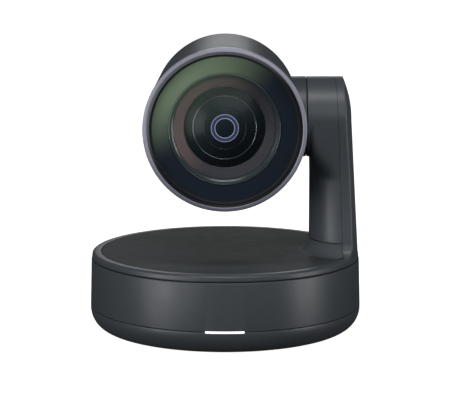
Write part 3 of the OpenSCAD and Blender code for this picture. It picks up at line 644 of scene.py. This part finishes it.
class CAMERA_OT_connector_panel(Operator):
    """Recessed flat panel at the back of the base, with a rounded surround and an opening per socket"""
    bl_idname = "camera_parts.connector_panel"
    bl_label = "Connector panel"

    def execute(self, context):
        s = sizes()
        lower, upper = low("port_panel"), high("port_panel")
        middle = (lower.z + upper.z) / 2 / MM
        width, height = (upper.x - lower.x) / MM, (upper.z - lower.z) / MM
        back = lower.y / MM
        floor_y = back + 1.8
        body = block((0, back + 10, middle), (width, 20, height), 1.0)
        skin = lathe([(0, -5), (s["base_radius"] + 0.4, -5), (s["band_top_radius"] - 0.9, 60), (0, 60)],
                     placed("Z"), 512)
        recess = block((0, floor_y + 12, middle), (width - 3.6, 24, height - 3.6), 1.2)
        z = socket_height()
        holes = [block((0, back, z), (12.2, 20, 11.2), 0.4), block((LOCK_X, back, z), (7, 20, 3.2), 0.8)]
        holes += [rod(r, 20, placed("Y", x, back - 10, z), 0, steps=64)
                  for x, r in ((jack_x(), JACK_RADIUS + 0.1), (control_x(), CONTROL_RADIUS + 0.1),
                               (BUTTON_X, 3.15))]
        mesh = combined(body, ("INTERSECT", skin), ("DIFFERENCE", recess), ("DIFFERENCE", joined(*holes)))
        piece("connector_panel", mesh, "base", ["port_panel"], plain_finish("black_plastic"))
        return {"FINISHED"}


def socket_height():
    """Height of the row of sockets, in millimetres."""
    return (high("pairing_button").z + low("pairing_button").z) / 2 / MM


def jack_x():
    return low("dc_jack").x / MM + JACK_RADIUS


def control_x():
    return low("control_socket").x / MM + CONTROL_RADIUS


class CAMERA_OT_sockets(Operator):
    """Data socket, power socket, round control socket and the plate of the lock slot"""
    bl_idname = "camera_parts.sockets"
    bl_label = "Sockets"

    def execute(self, context):
        z = socket_height()
        front = high("usb_socket").y / MM
        shell = without(block((0, front - 6.75, z), (12, 13.5, 11), 0.5),
                        block((0, front, z), (8.6, 18, 7.8), 0.6))
        tongue = block((0, front - 6.7, z), (5.6, 4.2, 3.2), 0.3)
        contacts = [block((x, front - 5.4, z + side * 1.7), (0.5, 3.6, 0.3))
                    for x in (-1.6, -0.5, 0.6, 1.7) for side in (-1, 1)]
        piece("data_socket", joined(shell, tongue, *contacts), "base", ["usb_socket"], plain_finish("steel"))

        length, pin_y = front - SOCKET_BACK, front - SOCKET_DEPTH - 0.02
        deep = length - SOCKET_DEPTH
        x = jack_x()
        barrel = rod(JACK_RADIUS, length, placed("Y", x, SOCKET_BACK, z), 0.4, 3.4, deep)
        pin = rod(1.05, 4.4, placed("Y", x, pin_y, z), 0.3, steps=32)
        foot = block((x, 57.5, 20.6), (9, 9, 7.9), 0.3)
        piece("power_socket", joined(barrel, pin, foot), "base", ["dc_jack"], plain_finish("black_plastic"))

        x = control_x()
        barrel = rod(CONTROL_RADIUS, length, placed("Y", x, SOCKET_BACK, z), 0.4, 4.8, deep)
        core = rod(1.5, 4.4, placed("Y", x, pin_y, z), 0.2, steps=32)
        circle = 2.6
        pins = [rod(0.4, 4.4, placed("Y", x + circle * math.cos(a), pin_y, z + circle * math.sin(a)), 0.1,
                    steps=12)
                for a in (math.radians(45 * i) for i in range(8))]
        foot = block((x, 57.5, 19.6), (11, 9, 5.9), 0.3)
        piece("control_socket_round", joined(barrel, core, foot, *pins), "base", ["control_socket"],
              plain_finish("black_plastic"))

        plate = without(block((LOCK_X, low("security_plate").y / MM + 0.7, z), (10, 1.4, 10), 0.3),
                        block((LOCK_X, 62, z), (7, 8, 3.2), 0.8))
        piece("lock_slot_plate", plate, "base", ["security_plate"], plain_finish("steel"))
        return {"FINISHED"}


class CAMERA_OT_pairing_button(Operator):
    """Round pairing button with a dished face"""
    bl_idname = "camera_parts.pairing_button"
    bl_label = "Pairing button"

    def execute(self, context):
        end = high("pairing_button").y / MM
        dish = [(2.9 - 0.29 * i, end - 0.35 * math.sin(math.pi / 2 * i / 10)) for i in range(1, 11)]
        outline = ([(0, 60.2), (1.4, 60.2), (1.4, end - 4.6), (4, end - 4.6), (4, end - 3.7), (3, end - 3.7)]
                   + rounded([(3, end - 1), (3, end, 0.25), (2.6, end)])[1:-1] + dish)
        mesh = lathe(outline, placed("Y", BUTTON_X, 0, socket_height()), 64)
        piece("pairing_button_dished", mesh, "button", ["pairing_button"], plain_finish("black_plastic"))
        return {"FINISHED"}


# ---- Turntable and arm ----

ROOT_FLARE = 7.0
COLLAR_FLARE = 6.0
WAIST, WAIST_Z = 21.4, 88.0  # half width of the arm where it is narrowest, and the height of that
CROWN_RADIUS, CROWN_Z = 70.4, 119.0  # outer face of the arm where it starts to lean inward
ROOM_TOP = 139.0  # the arm is solid above this height
COLUMN_DEPTH = 18.5
ARM_SEAM = 0.08  # half of the seam between the column cover and the outer shell


def arm_half_width(s, z, flare):
    """Half of the arm's width at a height; it flares where it meets the turntable."""
    above = z - s["tilt_height"]
    if above >= 0:
        return math.sqrt(max(s["hub_radius"] ** 2 - above ** 2, 0.04))
    if z >= WAIST_Z:
        return WAIST + (s["hub_radius"] - WAIST) * eased((z - WAIST_Z) / (s["tilt_height"] - WAIST_Z))
    width = WAIST + 2.0 * ((WAIST_Z - z) / 38.0) ** 1.6
    return width + fillet(z - s["panel_height"], flare)


def eased(t):
    """A smooth step from 0 to 1."""
    t = min(max(t, 0), 1)
    return t * t * (3 - 2 * t)


def fillet(above, radius):
    """How far a concave fillet stands out at a height above the surface it meets."""
    h = min(max(above, 0.0), radius)
    return radius - math.sqrt(radius ** 2 - (radius - h) ** 2)


def arm_outer_radius(z):
    """Distance of the arm's outer face from the pan axis: straight, then crowned at the top."""
    if z < CROWN_Z:
        return CROWN_RADIUS + (CROWN_Z - z) * 4.2 / 75
    return CROWN_RADIUS - 0.0092 * (z - CROWN_Z) ** 2


def seam_distance(z):
    """Distance from the pan axis of the slanting seam between the column cover and the outer shell."""
    return 65.8 - 4.8 * (z - 30) / 115


def arm_levels(s, bottom):
    """Heights of the arm's sections, close together at the flare and round the top."""
    shaft_z = s["panel_height"] + 8
    flare = [bottom + (shaft_z - bottom) * (i / 14) ** 1.5 for i in range(14)]
    shaft = [shaft_z + (s["tilt_height"] - shaft_z) * i / 40 for i in range(40)]
    top = [s["tilt_height"] + s["hub_radius"] * math.sin(math.radians(a)) for a in range(0, 90, 3)]
    return flare + shaft + top


def shell_section(s, z, flare, inset=0.0):
    """Plan of the outer shell at a height: flat sides, an arc about the pan axis and rounded corners."""
    half = max(arm_half_width(s, z, flare) - inset, 0.3)
    outer = arm_outer_radius(z) - inset
    back = seam_distance(z) + ARM_SEAM - (6 if inset else 0)
    size = min(0.9, half * 0.6)
    corner = (math.sqrt(outer ** 2 - half ** 2), half)
    lean = math.atan2(half, corner[0])
    nearer = lean - 0.06 * half / 22
    beyond = (outer * math.cos(nearer), outer * math.sin(nearer))
    before = (corner[0] - 1.6, half)
    mid = Vector(corner)
    start = mid + (Vector(before) - mid).normalized() * size
    end = mid + (Vector(beyond) - mid).normalized() * size
    side = [(back, half), (back + (start.x - back) * 0.5, half)]
    turn = [tuple(start * (1 - t) ** 2 + mid * 2 * t * (1 - t) + end * t ** 2)
            for t in (i / 6 for i in range(7))]
    reach = math.atan2(end.y, end.x)
    face = [(outer * math.cos(a), outer * math.sin(a)) for a in (reach * (1 - i / 14) for i in range(1, 15))]
    front = side + turn + face
    mirrored = [(x, -y) for x, y in reversed(front[:-1])]
    return [(x, y, z) for x, y in front + mirrored]


class CAMERA_OT_yoke(Operator):
    """Turning rim and the arm's outer shell, moulded as one"""
    bl_idname = "camera_parts.yoke"
    bl_label = "Rim and arm shell"

    def execute(self, context):
        s = sizes()
        bottom, top = s["pan_seam"] + 0.3, s["panel_height"]
        base, panel_gap = s["band_top_radius"] + 0.05, s["panel_radius"] + 0.4
        rim = rounded([(base, bottom, 0.4), (base - 0.25, top - 0.9, 0.5), (s["rim_radius"] - 0.5, top, 0.35),
                       (panel_gap, top, 0.3), (panel_gap, 43), (64, 43), (64, 41.4), (70.6, 41.4),
                       (70.6, 42.6), (73.2, 42.6), (73.2, bottom)])
        levels = arm_levels(s, top - 1.2)
        outside = loft([shell_section(s, z, ROOT_FLARE) for z in levels])
        inside = loft([shell_section(s, z, 0.01, s["wall"]) for z in levels if z < ROOM_TOP])
        clearance = block((58, 0, 42), (16, 39, 10))
        mesh = combined(lathe(rim, placed("Z")), ("DIFFERENCE", clearance), ("UNION", outside),
                        ("DIFFERENCE", inside))
        piece("rim_and_arm_shell", mesh, "turntable", ["yoke_shell"], shared(arm_paint_with_painted_light))
        return {"FINISHED"}


class CAMERA_OT_disc_panel(Operator):
    """Flat disc on the turntable, set in a thin gap inside the rim"""
    bl_idname = "camera_parts.disc_panel"
    bl_label = "Disc panel"

    def execute(self, context):
        s = sizes()
        top = s["panel_height"]
        outline = rounded([(0, top - 1.4), (s["panel_radius"], top - 1.4), (s["panel_radius"], top, 0.3),
                           (0, top)])
        plan = [(x, y, z) for z in (top - 4, top + 4) for x, y, _ in column_section(s, 60, -0.05)]
        half = len(plan) // 2
        hole = loft([plan[:half], plan[half:]])
        mesh = without(lathe(outline, placed("Z")), hole)
        piece("top_panel", mesh, "turntable", ["disc_panel"], shared(panel_paint))
        return {"FINISHED"}


def column_section(s, z, inset=0.0, flare=0.0):
    """Plan of the column at a height: a half ellipse that turns square where it becomes the hub."""
    stands_out = fillet(z - s["panel_height"], flare)
    half = max(arm_half_width(s, z, 0.01) - inset + stands_out, 0.3)
    hub_low = s["tilt_height"] - s["hub_radius"]
    power = 2.0 * 13 ** eased((z - hub_low + 12) / (s["hub_radius"] + 8))
    front = s["column_face"] + inset - stands_out
    reach = s["column_face"] + COLUMN_DEPTH - front
    end = seam_distance(z) - ARM_SEAM
    outline = []
    for i in range(25):
        a = math.pi / 2 * i / 24
        x, y = math.cos(a) ** (2 / power), math.sin(a) ** (2 / power)
        outline.append((min(front + reach * (1 - x), end), half * y))
    outline.append((end + 0.001, half))
    outline.append((end + 0.001, half * 0.5))
    mirrored = [(x, -y) for x, y in reversed(outline[1:])]
    return [(x, y, z) for x, y in outline + mirrored]


class CAMERA_OT_column(Operator):
    """Column cover that grows into the arm's half of the hub, and the flared collar at its root"""
    bl_idname = "camera_parts.column"
    bl_label = "Column and collar"

    def execute(self, context):
        s = sizes()
        foot = s["collar_seam"] + 0.25
        hub = s["hub_radius"]
        low_hub = s["tilt_height"] - hub - 13
        shaft = [foot + (low_hub - foot) * i / 12 for i in range(12)]
        shoulder = [low_hub + (hub + 13) * i / 40 for i in range(40)]
        top = [s["tilt_height"] + (hub - 0.03) * math.sin(math.radians(a)) for a in range(0, 89, 3)]
        levels = shaft + shoulder + top
        outside = loft([column_section(s, z, SKIN) for z in levels])
        inside = loft([column_section(s, z, s["wall"]) for z in [foot - 2] + levels if z < ROOM_TOP])
        collar = rounded([(0, 0), (hub, 0, 0.35), (hub, 6.5), (0, 6.5)])
        hub_end = lathe(collar, placed("X", s["hub_seam"] + 0.2, 0, s["tilt_height"]))
        hub_room = rod(hub - s["wall"], 8, placed("X", s["hub_seam"] + 2.2, 0, s["tilt_height"]), 0,
                       steps=128)
        shaft_hole = rod(8, 10, placed("X", s["hub_seam"] - 4, 0, s["tilt_height"]), 0, steps=64)
        mesh = combined(outside, ("UNION", hub_end), ("DIFFERENCE", inside), ("DIFFERENCE", hub_room),
                        ("DIFFERENCE", shaft_hole))
        piece("column_and_hub", mesh, "turntable", ["column_cover"], shared(arm_paint_with_painted_light))

        base = s["panel_height"] + SKIN
        edge = s["collar_seam"] - 0.2
        levels = [base + (edge - base) * (i / 16) ** 1.6 for i in range(17)]
        flared = loft([column_section(s, z, SKIN, COLLAR_FLARE) for z in levels])
        room = loft([column_section(s, z, s["wall"] + 0.3) for z in (base - 3, edge + 3)])
        panel_edge, over_rim = s["panel_radius"] - 0.1, s["panel_radius"] + 2.1
        bound = lathe([(0, 40), (panel_edge, 40), (panel_edge, base + 0.3), (over_rim, base + 0.3),
                       (over_rim, 60), (0, 60)], placed("Z"))
        mesh = combined(flared, ("DIFFERENCE", room), ("INTERSECT", bound))
        piece("root_collar_flared", mesh, "turntable", ["root_collar"], shared(collar_paint_with_painted_light))
        return {"FINISHED"}


# ---- Head ----


def drum_front(s):
    """Where the drum meets the front ring."""
    return -s["head_front"] + 6.2


def drum_radius(s, y):
    """Radius of the tapered drum at a distance along the lens axis."""
    front, front_r, seam_r = drum_front(s), s["bezel_radius"] - 0.2, s["back_radius"] + 0.35
    return front_r - (front_r - seam_r) * (y - front) / (s["cap_seam"] - front)


def optical(s):
    """Turns +Z to lie along the lens axis."""
    return placed("Y", 0, 0, s["tilt_height"])


class CAMERA_OT_barrel(Operator):
    """Tapered drum of the head, its rear cap and the head's half of the hub"""
    bl_idname = "camera_parts.barrel"
    bl_label = "Barrel, cap and neck"

    def execute(self, context):
        s = sizes()
        front, seam, wall = drum_front(s), s["cap_seam"], s["wall"]
        outline = rounded([(drum_radius(s, front) - wall, front), (drum_radius(s, front), front, 0.3),
                           (drum_radius(s, seam), seam, 0.3), (drum_radius(s, seam) - wall, seam)])
        hole = rod(s["hub_radius"] - 2.4, 40, placed("X", 20, 0, s["tilt_height"]), 0, steps=96)
        mesh = without(lathe(outline, optical(s)), hole)
        piece("barrel", mesh, "head", ["barrel_shell"], shared(charcoal_paint))

        back, r, radius = s["head_back"], 7.0, s["back_radius"]
        outline = ([(0, back)] + arc(radius - r, back - r, r, r, 90, 0, 16)
                   + rounded([(radius, back - r - 1), (radius + 0.25, seam + 0.3, 0.3),
                              (radius - 1.75, seam + 0.3)])[1:-1]
                   + [(radius - 1.75, seam + 0.3), (radius - 1.75, seam - 3), (radius - 3, seam - 3),
                      (radius - 3.6, back - r)]
                   + arc(radius - r - 0.6, back - r, r - 3, r - 2.2, 0, 90, 10) + [(0, back - 2.2)])
        piece("rear_cap_rounded", lathe(outline, optical(s)), "head", ["rear_cap"], shared(charcoal_paint))

        end = s["hub_seam"] - 0.2
        hub = rounded([(7, 30), (s["hub_radius"], 30), (s["hub_radius"], end, 0.35), (7, end), (7, end - 2),
                       (s["hub_radius"] - 2.2, end - 2), (s["hub_radius"] - 2.2, 31), (7, 31)])
        drum = lathe([(0, front), (drum_radius(s, front) + SKIN, front), (drum_radius(s, seam) + SKIN, seam),
                      (0, seam)], optical(s))
        mesh = without(lathe(hub, placed("X", 0, 0, s["tilt_height"])), drum)
        piece("neck", mesh, "head", ["hub_neck"], shared(charcoal_paint))
        return {"FINISHED"}


class CAMERA_OT_bezel(Operator):
    """Lilac-grey front ring: a flat pale face, a crisp edge and an inner chamfer"""
    bl_idname = "camera_parts.bezel"
    bl_label = "Front ring"

    def execute(self, context):
        s = sizes()
        r, f, g = s["bezel_radius"], -s["head_front"], s["glass_radius"]
        outline = rounded([
            (r - 0.15, f + 5.9), (r, f + 5), (r, f + 0.7, 0.3), (r - 0.35, f + 0.3, 0.15), (r - 1.9, f, 0.12),
            (r - 2.1, f + 0.12, 0.08), (r - 2.3, f + 0.35), (r - 2.3, f + 5.9)])
        piece("front_ring", lathe(outline, optical(s)), "head", ["front_bezel"], shared(bezel_paint_and_shade))
        chamfer = rounded([(r - 2.32, f + 0.35), (r - 3.5, f + 1.5, 0.2), (r - 3.6, f + 5.9),
                           (r - 2.32, f + 5.9)])
        extra_piece("front_ring_chamfer", lathe(chamfer, optical(s)), "head", shared(chamfer_paint_and_shade))
        gasket = rounded([(g + 0.05, f + 4.2), (r - 3.62, f + 4.2), (r - 3.62, f + 6), (g - 1, f + 6),
                          (g - 1, f + 4.9), (g + 0.05, f + 4.9)])
        extra_piece("glass_gasket", lathe(gasket, optical(s)), "head",
                    plain_finish("black_plastic"))
        return {"FINISHED"}


class CAMERA_OT_cover_glass(Operator):
    """Cover glass, and the dark coated print behind its edge"""
    bl_idname = "camera_parts.cover_glass"
    bl_label = "Cover glass and print"

    def execute(self, context):
        s = sizes()
        r, f, w = s["glass_radius"], -s["head_front"], s["window_radius"]
        glass = rounded([(0, f + 3), (r, f + 3, 0.3), (r, f + 4.5, 0.1), (0, f + 4.5)])
        piece("cover_glass_disc", lathe(glass, optical(s)), "head", ["front_glass"], shared(cover_glass))
        ring = rounded([(w, f + 4.55), (r, f + 4.55), (r, f + 4.85), (w, f + 4.85)])
        piece("window_print", lathe(ring, optical(s)), "head", ["window_mask"], shared(print_with_painted_sheen))
        return {"FINISHED"}


def ring_line(s, radius, y, half_width, raised):
    """A fine raised line round the lens axis, with an elliptical cross-section."""
    return lathe(arc(radius, y, half_width, raised, 0, 330, 11), optical(s))


class CAMERA_OT_lens_ring(Operator):
    """Stepped mauve ring that leads from the window down to the front element"""
    bl_idname = "camera_parts.lens_ring"
    bl_label = "Lens ring"

    def execute(self, context):
        s = sizes()
        f, w = -s["head_front"], s["window_radius"]
        cone = rounded([
            (27.0, f + 13.8), (22.2, f + 13.8), (22.2, f + 12.9, 0.2), (26.9, f + 10.6, 0.2),
            (27.2, f + 9.4, 0.1), (27.5, f + 9.4)])
        piece("mauve_lens_ring", lathe(cone, optical(s)), "head", ["lens_baffle"], shared(mauve_ring_with_painted_shade))
        well = rounded([
            (33, f + 5), (33, f + 6), (w + 0.1, f + 6), (w + 0.1, f + 12), (27.55, f + 12),
            (27.55, f + 7.2, 0.2), (28.7, f + 6.4, 0.2), (29.0, f + 5, 0.15)])
        extra_piece("window_well", lathe(well, optical(s)), "head", plain_finish("black_print"))
        for name, radius, thick, material in (("window_line_pale", w + 0.15, 0.10, fine_line),
                                              ("window_line_dark", w + 0.65, 0.16, dark_line)):
            extra_piece(name, ring_line(s, radius, f + 4.57, thick, 0.05), "head",
                        shared(material))
        return {"FINISHED"}


class CAMERA_OT_front_element(Operator):
    """Domed front element with the rings that show inside the lens"""
    bl_idname = "camera_parts.front_element"
    bl_label = "Front element"

    def execute(self, context):
        s = sizes()
        r, y, rise, steps = s["element_radius"], low("front_element").y / MM, 4.4, 24
        dome = [(r * i / steps, y + rise * (i / steps) ** 2) for i in range(steps + 1)]
        outline = dome + [(r, y + rise + 2.2), (0, y + rise + 3.0)]
        piece("front_element_dome", lathe(outline, optical(s)), "head", ["front_element"],
              shared(element_glass_with_painted_sheen))
        for name, radius, width, material in (("lens_line_outer", 17.0, 0.2, fine_line),
                                              ("lens_line_middle", 11.4, 0.12, faint_line),
                                              ("lens_line_pale", 7.2, 0.26, pale_line),
                                              ("lens_band_lilac", 6.25, 0.9, lilac_band),
                                              ("lens_line_inner", 5.3, 0.2, pale_line)):
            ring_y = y + rise * (radius / r) ** 2
            raised = 0.07 if width > 0.5 else 0.12
            extra_piece(name, ring_line(s, radius, ring_y, width, raised), "head",
                        shared(material))
        return {"FINISHED"}


class CAMERA_OT_inner_parts(Operator):
    """Finishes for the drives, boards and optics inside the shells"""
    bl_idname = "camera_parts.inner_parts"
    bl_label = "Inner parts"

    def execute(self, context):
        for name, node in frame["nodes"].items():
            node.data.materials.clear()
            node.data.materials.append(plain_finish(SLOT_OF[name]))
        return {"FINISHED"}


# ---- Stage ----


MIDDLE = Vector((0, 0, 0.09))  # what the lights aim at
ROOM_COLOUR, ROOM_STRENGTH = (0.95, 0.97, 1), 0.035
FLOOR_SIZE = 12
VIEW_SIDE, VIEW_HEIGHT = 0.00437, 0.2675
VIEW_PITCH = math.radians(80.38)
LENS, SENSOR_WIDTH = 160.37, 36.0  # millimetres

# Name, azimuth, elevation, distance, width, height and radiance
SOFTBOXES = (
    ("key_left", -54, 3, 1.3, 0.5, 0.9, 6.5),
    ("key_right", 70, 3, 1.3, 0.45, 0.9, 6.0),
    ("fill_low", -30, 0, 1.3, 0.25, 0.5, 4.2),
    ("fill_front", 12, 22, 1.5, 0.9, 0.5, 2.2),
    ("top_front", -6, 66, 1.4, 0.9, 0.35, 8.5),
    ("top_back", 180, 17, 1.7, 0.4, 0.3, 2.8),
)


def softbox(name, azimuth, elevation, distance, width, height, radiance):
    """A soft light aimed at the middle; azimuth 0 is in front and positive azimuths are to the right."""
    a, e = math.radians(azimuth), math.radians(elevation)
    data = bpy.data.lights.new(name, "AREA")
    data.shape, data.size, data.size_y = "RECTANGLE", width, height
    data.energy = radiance * math.pi * width * height
    lamp = bpy.data.objects.new(name, data)
    bpy.context.scene.collection.objects.link(lamp)
    toward = Vector((math.sin(a) * math.cos(e), -math.cos(a) * math.cos(e), math.sin(e)))
    lamp.location = MIDDLE + toward * distance
    lamp.rotation_euler = (MIDDLE - lamp.location).to_track_quat("-Z", "Y").to_euler()
    lamp.visible_camera = False


def white_surround(world):
    """A white backdrop for the view, with only a dim grey room for the light that falls on the camera."""
    world.use_nodes = True
    nodes, links = world.node_tree.nodes, world.node_tree.links
    room = nodes["Background"]
    room.inputs["Color"].default_value = (*ROOM_COLOUR, 1)
    room.inputs["Strength"].default_value = ROOM_STRENGTH
    backdrop = nodes.new("ShaderNodeBackground")
    backdrop.inputs["Color"].default_value = (1, 1, 1, 1)
    choice = nodes.new("ShaderNodeMixShader")
    links.new(nodes.new("ShaderNodeLightPath").outputs["Is Camera Ray"], choice.inputs["Fac"])
    links.new(room.outputs["Background"], choice.inputs[1])
    links.new(backdrop.outputs["Background"], choice.inputs[2])
    links.new(choice.outputs["Shader"], nodes["World Output"].inputs["Surface"])


class CAMERA_OT_stage(Operator):
    """Pale floor, soft studio lights and the view"""
    bl_idname = "camera_parts.stage"
    bl_label = "Stage"

    def execute(self, context):
        scene = context.scene
        mesh = bmesh.new()
        bmesh.ops.create_grid(mesh, x_segments=1, y_segments=1, size=FLOOR_SIZE)
        floor = as_object("floor", mesh)
        floor.data.materials.append(surface("floor_white", (0.8, 0.8, 0.8), 0.9, Emission_Color=(1, 1, 1, 1),
                                            Emission_Strength=1.0)[0])
        floor.visible_diffuse = floor.visible_glossy = False
        scene.world = scene.world or bpy.data.worlds.new("studio")
        white_surround(scene.world)
        for light in SOFTBOXES:
            softbox(*light)
        data = bpy.data.cameras.new("view")
        data.sensor_width, data.lens = SENSOR_WIDTH, LENS
        data.clip_start, data.clip_end = 0.05, 60
        view = bpy.data.objects.new("view", data)
        scene.collection.objects.link(view)
        view.location = (VIEW_SIDE, -scene.camera_sizes.camera_distance, VIEW_HEIGHT)
        view.rotation_euler = (VIEW_PITCH, 0, 0)
        scene.camera = view
        scene.view_settings.view_transform = "Standard"
        return {"FINISHED"}


PART_OPERATORS = (
    CAMERA_OT_bowl, CAMERA_OT_band, CAMERA_OT_feet, CAMERA_OT_light_bar, CAMERA_OT_connector_panel,
    CAMERA_OT_sockets, CAMERA_OT_pairing_button, CAMERA_OT_yoke, CAMERA_OT_disc_panel, CAMERA_OT_column,
    CAMERA_OT_barrel, CAMERA_OT_bezel, CAMERA_OT_cover_glass, CAMERA_OT_lens_ring,
    CAMERA_OT_front_element, CAMERA_OT_inner_parts, CAMERA_OT_stage)


class CAMERA_PT_parts(Panel):
    """Lists the settings and the pieces of the camera"""
    bl_idname = "CAMERA_PT_parts"
    bl_label = "Camera Parts"
    bl_space_type = "VIEW_3D"
    bl_region_type = "UI"
    bl_category = "Camera Parts"

    def draw(self, context):
        for group in (context.scene.camera_sizes, context.scene.camera_colours):
            box = self.layout.box()
            for name in group.__annotations__:
                box.prop(group, name)
        for operator in PART_OPERATORS:
            self.layout.operator(operator.bl_idname)


CLASSES = (CameraSizes, CameraColours, *PART_OPERATORS, CAMERA_PT_parts)


def register():
    for cls in CLASSES:
        bpy.utils.register_class(cls)
    bpy.types.Scene.camera_sizes = PointerProperty(type=CameraSizes)
    bpy.types.Scene.camera_colours = PointerProperty(type=CameraColours)


def unregister():
    del bpy.types.Scene.camera_colours
    del bpy.types.Scene.camera_sizes
    for cls in reversed(CLASSES):
        bpy.utils.unregister_class(cls)


def main():
    register()
    for operator in PART_OPERATORS:
        group, name = operator.bl_idname.split(".")
        getattr(getattr(bpy.ops, group), name)()


if __name__ == "__main__":
    main()
